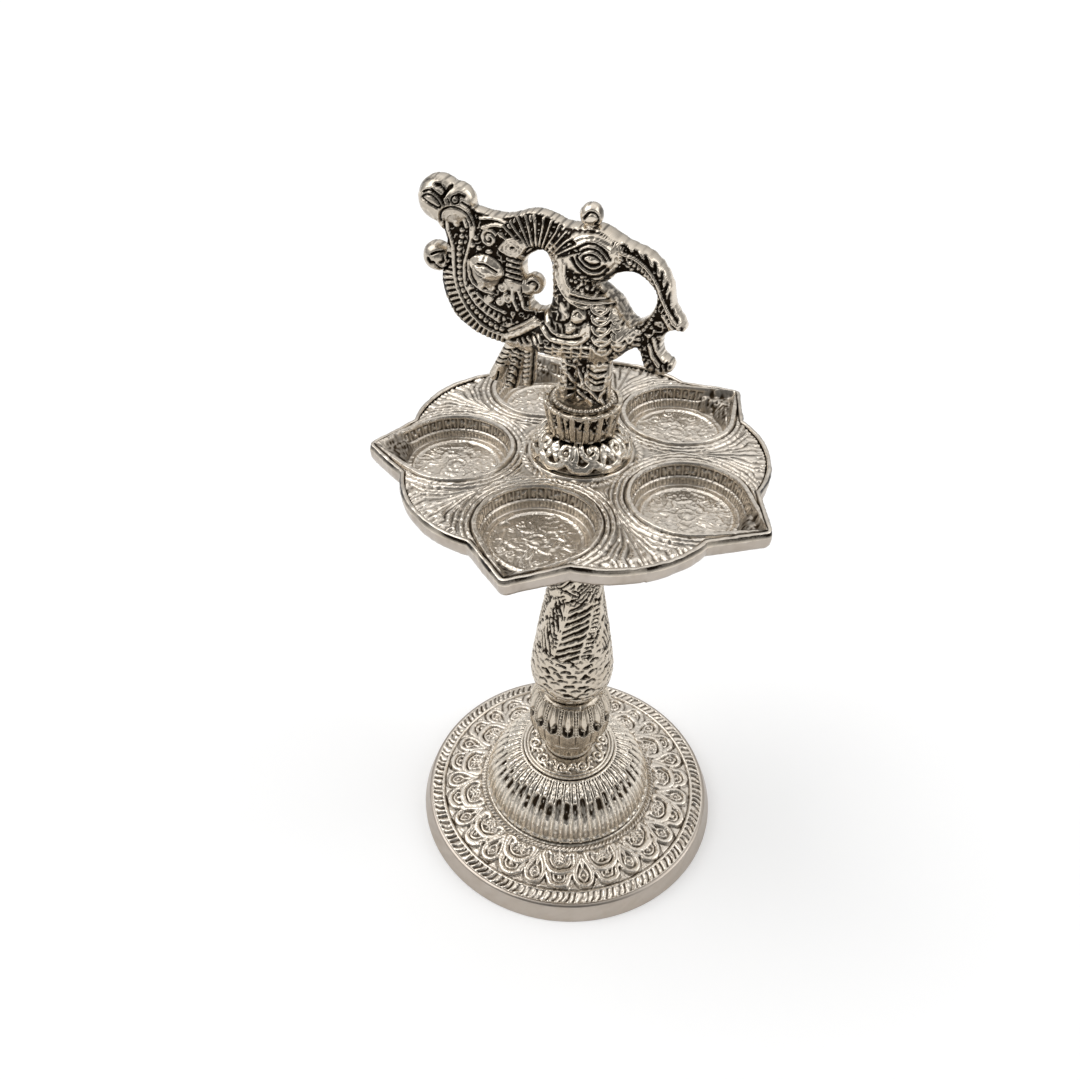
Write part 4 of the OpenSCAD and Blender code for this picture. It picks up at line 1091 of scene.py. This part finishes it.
BIRD_BEADS = [  # radius, pitch, points
    (0.62, 1.3, [[-26.2, 34.4], [-26.4, 32.4], [-27, 29.8], [-27.2, 27], [-27.2, 24], [-26.8, 21.7],
                 [-26, 19.6], [-24.2, 17.2], [-22, 15.5], [-19.4, 14.2], [-17.2, 13.8]]),
    (0.45, 1.05, [[-22.4, 38.2], [-20, 38.6], [-17, 38.5], [-14.5, 38.6]]),
    (0.44, 0.95, [[8.6, 33.2], [11.2, 32.2], [13.4, 30.2], [14.6, 27.4], [14.7, 24.4], [13.6, 21.4],
                  [12, 19.2], [10.2, 18.4]])]
BIRD_LADDERS = [  # half width, pitch, points
    (1.3, 1.15, [[-30, 29], [-29.9, 26.6], [-29.7, 22.6], [-28.4, 18.7], [-26.4, 15.5], [-23.8, 13.2],
                 [-20.8, 11.8], [-17.4, 11.3]]),
    (0.75, 1.2, [[-24.7, 21.8], [-23.7, 20], [-21.9, 18.2], [-19.6, 17], [-17.6, 16.4]]),
    (1.9, 1.1, [[-14.6, 30.3], [-15.2, 24.6]]),
    (1.0, 1.2, [[11.4, 19], [11.6, 16], [12.8, 13.4], [14.6, 12.2]])]
BIRD_CURLS = [  # x, y, radius, turns, start
    (-22.4, 23.3, 1.0, -1.2, 80), (-20, 23, 1.0, 1.2, 100), (-17.6, 23.4, 1.1, -1.2, 60),
    (-20.6, 20.4, 0.9, 1.2, 180),
    (-18.2, 20.2, 1.0, -1.2, 60), (-16.2, 21.2, 1.1, 1.2, 120), (0.5, 17.2, 1.0, -1.2, 60),
    (-20.3, 33, 1.9, 1.6, 20)]
BREAST_TILES = [  # middle, half width, lowest, rows, rise of a row
    (4.4, 1.85, 13.2, 5, 2.2), (7.9, 1.35, 15.0, 5, 1.9), (10.2, 0.85, 17.2, 4, 1.7)]
WING_BOSSES = [  # x, y, half length, half width, tilt, top
    (-1.0, 20.3, 1.8, 1.5, 30, 0.42), (-2.4, 17.5, 1.5, 0.9, 55, 0.32), (0.4, 17.6, 1.4, 0.7, 70, 0.24)]
PLUME_RIB = [[7.8, 35.4], [10.6, 34.7], [13.4, 32.8], [15.4, 30.2], [16.8, 27.2], [18.4, 24.6], [19.4, 22.8]]
EYE, FAN, LEAF = (1.4, 32.3), (-9.9, 29.5), (-15.2, 32.0)  # middles of the eye, the fan and the rear leaf


def draw_head_and_tail(s):
    """Eye with its lids, fan of rays over the rear opening, leaf, buds and egg of the tail."""
    for a, b, w in ((4.3, 3.3, 0.55), (3.2, 2.1, 0.5), (2.0, 1.0, 0.45)):
        for arc in almond(*EYE, a, b, -4):
            s.cut(arc[1:-1:3], w, 0.62)
    s.ball(*EYE, 0.62, 0.2)
    ray, far = np.degrees(np.arctan2(s.y - FAN[1], s.x - FAN[0])), np.hypot(s.x - FAN[0], s.y - FAN[1])
    fan = (ray > 22) & (ray < 158) & (far > 3.2) & (far < 9.8)
    spread = 2.9 + 2.6 * smooth(6.5, 4.0, far)
    rays = soft(fold(ray + 2.5 * noise(ray / 14, far / 4, 104), 10.5), spread) * smooth(3.2, 3.9, far)
    s.h = np.where(fan, -0.62 + 0.85 * rays, s.h)
    for size in (1.0, 0.66, 0.33):
        s.almond_ring(*LEAF, 2.9 * size, 1.6 * size, 14, 0.38)
    s.ball(-27.4, 35.0, 0.9, 0.2)
    for at in ([-23.2, 32.6], [-22.6, 30.6], [-17.6, 34.0], [-24.0, 31.0]):
        s.ball(*at, 0.62, 0.15)
    s.lens(-21.0, 26.9, 3.9, 2.7, -12, 1.0, GROUND, 0.55)


def barbs(x, y):
    """Slanting barbs outside the rib of the trailing plume, a thin line and ticks inside it."""
    p = curve(PLUME_RIB)
    d, along = to_path(x, y, p)
    inner = inside_distance(x, y, np.vstack([p, [[12, 19], [4, 26], [4, 34]]])) > 0
    bar = soft(fold(along + 1.2 * d + 0.3 * noise(along / 2, d, 108), 2.1), 0.95) * smooth(0.15, 0.4, d)
    bar = np.maximum(bar, smooth(1.5, 2.1, d))
    tick = np.maximum(ridge(d - 0.85, 0.34), soft(fold(along - 0.6 * d, 1.05), 0.3) * smooth(1.1, 1.3, d))
    return np.where(d < 2.2, -0.5 + 0.78 * np.where(inner, tick, bar), NOTHING)


def draw_breast_and_wing(s):
    """Dots and hatching on the neck, tiles on the breast, bosses and rows of ticks on the wing."""
    for i, j in np.ndindex(7, 3):
        at_x = -3.3 + 1.25 * i + 0.6 * (j % 2) + 0.4 * math.sin(7 * i + 3 * j)
        at_y = 26.1 + 1.0 * j + 0.4 * math.sin(5 * i + 2 * j)
        s.ball(at_x, at_y, 0.32 + 0.14 * math.sin(4 * i + 9 * j), 0.04)
    for i in range(8):
        for way in (-0.8, 0.8):
            s.line([[-6.6 - way, 23.4 + 1.4 * i], [-6.6 + way, 24.8 + 1.4 * i]], 0.26, 0.1)
    for middle, wide, low, rows, rise in BREAST_TILES:
        for j in range(rows):
            x, y = middle - 0.09 * rise * j, low + rise * j
            edge = ((-1, 1.0), (-0.7, 0.1), (0, -0.3), (0.7, 0.5), (1, 1.4))
            s.line([[x + u * wide, y + v] for u, v in edge], 0.40, 0.26)
            s.lens(x, y + 0.95, (0.72 + 0.12 * math.sin(3 * j + x)) * wide, 0.66, 14, 0.26, GROUND, 0.5)
    for x, y, a, b, tilt, top in WING_BOSSES:
        s.lens(x, y, a, b, tilt, top, GROUND, 0.5)
    for i in range(5):
        x, y = -7.2 + 2.05 * i, 10.16 + 0.41 * i
        s.line([[x + 1.0, y - 0.4], [x + 1.05, y + 2.9]], 0.28, 0.10)
        for j in range(3):
            slope = 0.25 * math.sin(5 * i + 3 * j)
            s.line([[x - 0.6, y + 1.05 * j], [x + 0.55, y + 1.05 * j + slope]], 0.32, 0.12)
        s.line([[-14.2 + 1.15 * i, 12.2 + 0.55 * i], [-13.4 + 1.15 * i, 10.8 + 0.55 * i]], 0.36, 0.12)


def draw_strands(s):
    """Strands under the tail: crossed bars over a toe, a row of curls, plain steps."""
    for (top, foot, r), last, step in zip(STRANDS, (0.60, 0.95, 0.95), (0.14, 0.20, 0.14)):
        s.line([top, foot], 0.95 * r, 0.14)
        for t in np.arange(0.12, last, step):
            at = np.array(top) * (1 - t) + np.array(foot) * t
            if step > 0.14:
                s.cut(at + [[-0.4, 0.5], [0.3, 0.7], [1.0, 0.2], [1.3, -0.6]], 0.42, 0.7)
                s.cut(at + [[-1.4, 0.3], [-0.7, -0.5], [0.2, -0.5]], 0.32, 0.6)
            else:
                depth = 0.62 if last < 0.9 else 0.38
                s.cut(at + [[-0.95 * r, 0.3], [-0.2, -0.1], [0.5 * r, 0.2]], 0.36, depth)
    s.cut([[-20.2, 5.0], [-21.4, 3.4], [-21.7, 1.8], [-20.6, 0.9], [-19.4, 1.6], [-18.9, 3.6]], 0.36, 0.7)


def bird_relief(x, y):
    """The chasing of the bird's side, on a sunk ground; the wing and the head stand a little higher."""
    s = Sheet(x, y, -0.46 + 0.12 * noise(x / 0.9, y / 0.9, 106))
    s.lens(-3.4, 19.2, 5.2, 4.6, 12, -0.21, GROUND, 0.5)
    s.lens(0.6, 33.2, 6.4, 4.8, 0, 0.0, GROUND, 0.5)
    for w, top, points in BIRD_LINES:
        s.line(points, w, top)
    for r, pitch, points in BIRD_BEADS:
        s.beads(points, r, pitch)
    for w, pitch, points in BIRD_LADDERS:
        s.ladder(points, w, pitch)
    for *place, turns, start in BIRD_CURLS:
        s.spiral(*place, turns, start, 0.40)
    draw_head_and_tail(s)
    s.h = np.maximum(s.h, barbs(x, y))
    draw_breast_and_wing(s)
    draw_strands(s)
    for w, depth, points in BIRD_CUTS:
        s.cut(points, w, depth)
    # small winding lines where the ground is still open
    open_ground = smooth(0.30, 0.06, blur((s.h > -0.28).astype(float), 2, False))
    winding = soft(noise(x / 0.95, y / 0.95, 103), 0.42)
    return np.maximum(s.h, -0.5 + 0.56 * winding * open_ground)


def bird_form(x, y):
    """Half thickness of the bird, and the distance inside its outline."""
    plate = inside_distance(x, y, curve(BIRD, 4, True))
    for gap in GAPS:
        plate = np.minimum(plate, -inside_distance(x, y, curve(gap, 4, True)))
    full = np.minimum(inside_distance(x, y, curve(FULL_BODY, 3, True)), plate)
    flat = 1.0 + (PLATE - 1.0) * ridge(1 - np.clip(plate / 2.2, 0, 1), 1)
    forms = [np.where(plate > 0, flat, 0), 5.7 * ridge(1 - np.clip(full / 5.4, 0, 1), 1)]
    inside = plate
    round_parts = [(np.hypot(x - at_x, y - at_y), r) for at_x, at_y, r in BALLS]
    round_parts += [(to_path(x, y, np.array([top, foot]))[0], r) for top, foot, r in STRANDS]
    for q, r in round_parts:
        forms.append(r * ridge(q, r))
        inside = np.maximum(inside, r - q)
    return np.sum([form ** 5 for form in forms], 0) ** 0.2, inside


def bird_skin(x, y, half, inside):
    """Relief of the bird's side with the marks of its round parts, and where it is dark."""
    relief = bird_relief(x - LEAN_X * (half - PLATE), y - LEAN_Y * (half - PLATE))
    relief += 0.10 * noise(x / 0.5, y / 0.5, 101)
    for at_x, at_y, r in BALLS[:-1]:
        round_part = smooth(r, 0.8 * r, np.hypot(x - at_x, y - at_y))
        relief = np.where(round_part > 0, np.maximum(relief, 0.05 - 0.55 * (1 - round_part)), relief)
    knob = Sheet(x - LEAN_X * half, y - LEAN_Y * half, 0.0)
    for w, depth, points in KNOB_CUTS:
        knob.cut(points, w, depth)
    relief = (relief + knob.h) * smooth(0.1, 0.6, inside)
    # the tail and the plume darker on their lower lands
    darker_ends = 0.22 * (smooth(-9, -13, x) + smooth(7, 10, x)) * smooth(0.22, 0.04, relief)
    dark = np.minimum(hollows(relief, 5, False, 0.42, (-0.06, -0.36)) + darker_ends, 1)
    return relief, dark * smooth(0.05, 0.4, inside)


def cut_sheet(inside):
    """Triangles of a grid, cut where inside turns 0: point pairs with shares, faces, edge steps."""
    nx, ny = inside.shape
    number = np.arange(nx * ny).reshape(nx, ny)
    a, b, c, d = number[:-1, :-1], number[1:, :-1], number[1:, 1:], number[:-1, 1:]
    tri = np.vstack([np.stack(t, -1).reshape(-1, 3) for t in ((a, b, c), (a, c, d))])
    value = inside.ravel()
    count = (value[tri] > 0).sum(1)

    def odd_first(rows, sign):
        first = np.argmax((value[rows] > 0) == sign, axis=1)
        return np.stack([rows[np.arange(len(rows)), (first + k) % 3] for k in range(3)], -1)

    whole, one, two = tri[count == 3], odd_first(tri[count == 1], True), odd_first(tri[count == 2], False)
    cuts = np.vstack([one[:, [0, 1]], one[:, [0, 2]], two[:, [1, 0]], two[:, [2, 0]]])
    pairs, place = np.unique(cuts, axis=0, return_inverse=True)
    kept = np.nonzero(value > 0)[0]
    fresh = np.full(nx * ny, -1)
    fresh[kept] = np.arange(len(kept))
    n1, n2 = len(one), len(two)
    p1, q1, p2, q2 = np.split(place.ravel() + len(kept), [n1, 2 * n1, 2 * n1 + n2])
    one, two = fresh[one], fresh[two]
    faces = [fresh[whole], np.c_[one[:, 0], p1, q1], np.c_[p2, two[:, 1], two[:, 2]],
             np.c_[p2, two[:, 2], q2]]
    steps = np.vstack([np.c_[p1, q1], np.c_[q2, p2]])
    ends = np.vstack([np.c_[kept, kept], pairs])
    share = np.r_[np.zeros(len(kept)), value[pairs[:, 0]] / (value[pairs[:, 0]] - value[pairs[:, 1]])]
    return ends, share, np.vstack(faces), steps, len(kept)


def make_peacock():
    """The bird: both chased sides, cut along the outline, and a rounded, notched edge between them."""
    step, inset, rows = 0.195, 0.35, 6
    x, y = np.meshgrid(np.arange(-38, 23, step), np.arange(-0.6, 44.4, step), indexing="ij")
    half, inside = bird_form(x, y)
    relief, dark = bird_skin(x, y, half, inside)
    ends, share, faces, steps, kept = cut_sheet(inside - inset)

    def at_points(field):
        flat = field.ravel()
        return flat[ends[:, 0]] * (1 - share) + flat[ends[:, 1]] * share

    px, py, depth, shade = (at_points(f) for f in (x, y, half + relief, dark))
    gx, gy = (at_points(-g) for g in np.gradient(blur(inside, 2, False), step))
    size = np.maximum(np.hypot(gx, gy), 1e-6)
    sides = [np.stack([px, way * depth, py], -1) for way in (-1, 1)]
    # the edge: rows of points from the front to the back, notched all round and speckled at the breast
    total, cut = len(px), np.arange(kept, len(px))
    ex, ey = px[cut], py[cut]
    stroke = soft(fold(1.2 * ex + 0.5 * ey + 1.2 * noise(ex / 2, ey / 2, 102), 1.9), 0.5)
    stroke *= 0.75 + 0.4 * noise(ex / 1.5, ey / 1.5, 105)
    stroke *= 1 - 0.65 * smooth(4, 6, ex) * smooth(19, 21, ey)
    breast = smooth(2.0, 3.5, ex) * smooth(11.6, 10.8, ex) * smooth(29, 27.5, ey) * smooth(13, 15, ey)
    strip, strip_dark = [], []
    for k in range(1, rows):
        s = 2 * k / rows - 1
        specks = smooth(-0.25, 0.15, noise((1.1 * ex - 0.9 * ey) / 0.65, 2.1 * k + 0 * ex, 107))
        mark = np.maximum(stroke, 1.35 * breast * specks)
        out = (inset * math.sqrt(1 - s * s) - 0.16 * mark * (1 - s ** 4)) / size[cut]
        strip.append(np.stack([ex + gx[cut] * out, depth[cut] * s, ey + gy[cut] * out], -1))
        strip_dark.append((0.65 - 0.15 * breast) * mark)
    walls = []
    for k in range(rows):
        low = steps if k == 0 else steps - kept + 2 * total + (k - 1) * len(cut)
        high = steps + total if k == rows - 1 else steps - kept + 2 * total + k * len(cut)
        walls.append(np.c_[low[:, ::-1], high])
    points = np.vstack(sides + strip) + [0, 0, BIRD_Z]
    faces = [faces, faces[:, ::-1] + total, np.vstack(walls)]
    shade = np.concatenate([shade, shade] + strip_dark)
    piece("peacock_bird", points, faces, shade, ANTIQUE, "finial", ["peacock"])


make_peacock()


# Rod and fasteners

def make_rod():
    """Plain rod with a screw thread at its lower end."""
    pitch, thread_top = 0.8, 24.0

    def thread(angle, r, z):
        turn = (z / pitch - angle / 360) % 1.0
        run_out = smooth(ROD_END_Z + 0.4, ROD_END_Z + 1.0, z) * smooth(thread_top, thread_top - 1.5, z)
        return np.where(r > 2, -0.42 * np.abs(2 * turn - 1) * run_out, 0)

    rod = np.vstack([
        [[0.05, ROD_END_Z], [1.9, ROD_END_Z], [2.05, ROD_END_Z + 0.05]],
        np.c_[np.r_[2.25, np.full(129, ROD_R)], np.linspace(ROD_END_Z + 0.25, thread_top, 130)],
        resample([[ROD_R, thread_top + 1], [ROD_R, ROD_TOP_Z]], 30), [[2.3, ROD_TOP_Z], [0.05, ROD_TOP_Z]]])
    revolve("rod_threaded", rod, (STEEL, "finial", ["tie_rod"], "steel"), thread, around=72)


def make_washers():
    """Flat washer, and a split ring with a slight twist, closed at both ends."""
    edge = [[2.7, 0.05], [2.8, 0], [5.85, 0], [6, 0.12], [6, 0.85], [5.85, 1],
            [2.8, 1], [2.7, 0.95], [2.7, 0.05]]
    flat = np.vstack([resample(edge[k:k + 2], 4)[:-1] for k in range(8)] + [edge[-1:]]) + [0, WASHER_Z]
    look = (STEEL, "stand", ["flat_washer"], "steel")
    revolve("washer_flat", flat, look, cast_skin(111, 0.02, 1.2), around=120, span=0.06)

    turns = np.radians(np.linspace(6, 354, 90))
    section = np.array([[2.75, 0.05], [4.5, 0.05], [4.6, 0.15], [4.6, 1.05], [4.5, 1.15], [2.75, 1.15]])
    a, r = np.meshgrid(turns, section[:, 0], indexing="ij")
    z = SPRING_Z + section[None, :, 1] + 0.10 * (a / (2 * math.pi))
    ring = np.stack([r * np.cos(a), r * np.sin(a), z], -1).reshape(-1, 3)
    n = len(section)
    k = np.arange(n)
    i = np.arange(len(turns) - 1)[:, None] * n
    quads = np.stack([i + k, i + n + k, i + n + (k + 1) % n, i + (k + 1) % n], -1).reshape(-1, 4)
    cap = np.array([[0, 1, 2, 5], [5, 2, 3, 4]])
    caps = np.vstack([cap, len(ring) - n + cap[:, ::-1]])
    shade = np.full(len(ring), 0.1)
    piece("washer_split", ring, [quads, caps], shade, STEEL, "finial", ["spring_washer"], "steel")


def make_nut():
    """Six-sided nut with both faces chamfered."""
    across, height, face_r, mouth_r = 4.0, 4.0, 3.9, 2.95
    angle = np.radians(np.arange(0, 360, 2.5))
    flat = across / np.cos((angle + math.pi / 6) % (math.pi / 3) - math.pi / 6)
    bore = [(THREAD_R, 0.4), (mouth_r, 0.0), (face_r, 0.0)]
    outer = [(None, h) for h in (0.28, 0.7, 2.0, 3.3, 3.72)]
    rows = []
    for r, h in bore + outer + [(r, height - h) for r, h in bore[::-1]] + bore[:1]:
        chamfer = face_r + 2.1 * min(h, height - h)
        size = np.minimum(flat, chamfer) if r is None else np.full(len(angle), r)
        ring = [size * np.cos(angle), size * np.sin(angle), np.full(len(angle), NUT_Z + h)]
        rows.append(np.stack(ring, -1))
    nut = np.stack(rows, 1)
    faces, shade = grid_faces(*nut.shape[:2], True), np.full(nut.shape[:2], 0.1)
    made = piece("nut_hex", nut.reshape(-1, 3), [faces], shade, STEEL, "finial", ["base_nut"], "steel")
    made.data.set_sharp_from_angle(angle=math.radians(28))


make_rod()
make_washers()
make_nut()


# Floor, light and camera

FLOOR_HALF, FLOOR_GLOW = 20.0, 0.16  # metres, and what lifts the lit floor to white
SKY_LOW, SKY_HIGH = 0.30, 1.15  # light of the studio at the horizon and overhead
VIEWER_SIDE, VIEWER_SHADE = (0.30, -0.72, 0.63), 0.22  # where the studio is dark, and how far
CAMERA_AWAY, CAMERA_HEIGHT, CAMERA_TURN = 180.9, 244.0, 20.0
CAMERA_PITCH, CAMERA_YAW, CAMERA_ROLL = 39.0, -2.83, 0.65
FOCAL_PX, FRAME_PX, SENSOR = 970.2, 1080, 36.0


def make_floor():
    """Wide pale floor, white to the camera and in the metal, that keeps the object's soft shadow."""
    mesh = bpy.data.meshes.new("floor")
    corners = [(x * FLOOR_HALF, y * FLOOR_HALF, 0) for x, y in ((-1, -1), (1, -1), (1, 1), (-1, 1))]
    mesh.from_pydata(corners, [], [(0, 1, 2, 3)])
    floor = bpy.data.objects.new("floor", mesh)
    bpy.context.collection.objects.link(floor)
    mat = bpy.data.materials.new("pale_floor")
    mat.use_nodes = True
    tree = mat.node_tree
    shader = tree.nodes["Principled BSDF"]
    shader.inputs["Base Color"].default_value = (0.9, 0.9, 0.9, 1)
    shader.inputs["Roughness"].default_value = 0.9
    shader.inputs["Specular IOR Level"].default_value = 0.0
    shader.inputs["Emission Color"].default_value = (1, 1, 1, 1)
    rays = add_node(tree, "ShaderNodeLightPath").outputs
    seen = math_node(tree, "MAXIMUM", rays["Is Camera Ray"], rays["Is Glossy Ray"])
    seen = math_node(tree, "MAXIMUM", seen, rays["Is Transmission Ray"])
    tree.links.new(math_node(tree, "MULTIPLY", seen, FLOOR_GLOW), shader.inputs["Emission Strength"])
    mesh.materials.append(mat)


def make_world():
    """Studio: bright above, dim at the horizon and dark round the viewer, as the metal shows."""
    world = bpy.data.worlds.new("studio")
    bpy.context.scene.world = world
    world.use_nodes = True
    tree = world.node_tree
    where = add_node(tree, "ShaderNodeTexCoord").outputs["Generated"]
    height = add_node(tree, "ShaderNodeSeparateXYZ", {0: where}).outputs["Z"]
    sky = add_node(tree, "ShaderNodeMapRange", {"Value": height, "To Min": SKY_LOW, "To Max": SKY_HIGH})
    facing = add_node(tree, "ShaderNodeVectorMath", {0: where, 1: VIEWER_SIDE}, operation="DOT_PRODUCT")
    ends = {"From Min": 0.60, "From Max": 0.95, "To Min": 1.0, "To Max": VIEWER_SHADE}
    viewer = add_node(tree, "ShaderNodeMapRange", {"Value": facing.outputs["Value"], **ends},
                      interpolation_type="SMOOTHSTEP")
    strength = math_node(tree, "MULTIPLY", sky.outputs["Result"], viewer.outputs["Result"])
    background = tree.nodes["Background"]
    background.inputs["Color"].default_value = (1, 1, 1, 1)
    tree.links.new(strength, background.inputs["Strength"])


def sun(name, place, spread, strength):
    """Broad soft light from the direction of a place."""
    lamp = bpy.data.lights.new(name, "SUN")
    lamp.angle, lamp.energy = math.radians(spread), strength
    made = bpy.data.objects.new(name, lamp)
    bpy.context.collection.objects.link(made)
    made.rotation_euler = Vector(place).to_track_quat("Z", "Y").to_euler()


def make_camera():
    """The photo's camera: looking down 39 degrees from about 0.3 m away."""
    p, w, t = (math.radians(a) for a in (CAMERA_PITCH, CAMERA_YAW, CAMERA_ROLL))
    forward = np.array([math.sin(w) * math.cos(p), math.cos(w) * math.cos(p), -math.sin(p)])
    right = np.array([math.cos(w), -math.sin(w), 0])
    up = np.cross(right, forward)
    across = math.cos(t) * right + math.sin(t) * up
    upward = -math.sin(t) * right + math.cos(t) * up
    camera = bpy.data.cameras.new("camera")
    camera.sensor_width, camera.lens = SENSOR, SENSOR * FOCAL_PX / FRAME_PX
    camera.clip_start = 0.01
    holder = bpy.data.objects.new("camera", camera)
    bpy.context.collection.objects.link(holder)
    axes = Matrix([[*row] for row in np.c_[across, upward, -forward]]).to_4x4()
    place = Matrix.Translation((0, -CAMERA_AWAY * MM, CAMERA_HEIGHT * MM))
    holder.matrix_world = Matrix.Rotation(math.radians(CAMERA_TURN), 4, "Z") @ place @ axes
    bpy.context.scene.camera = holder


make_floor()
make_world()
sun("key", (-0.7, -0.2, 1.0), 50, 0.9)
sun("side", (1.0, 0.3, 0.7), 40, 0.5)
make_camera()
bpy.context.scene.view_settings.view_transform = "Standard"
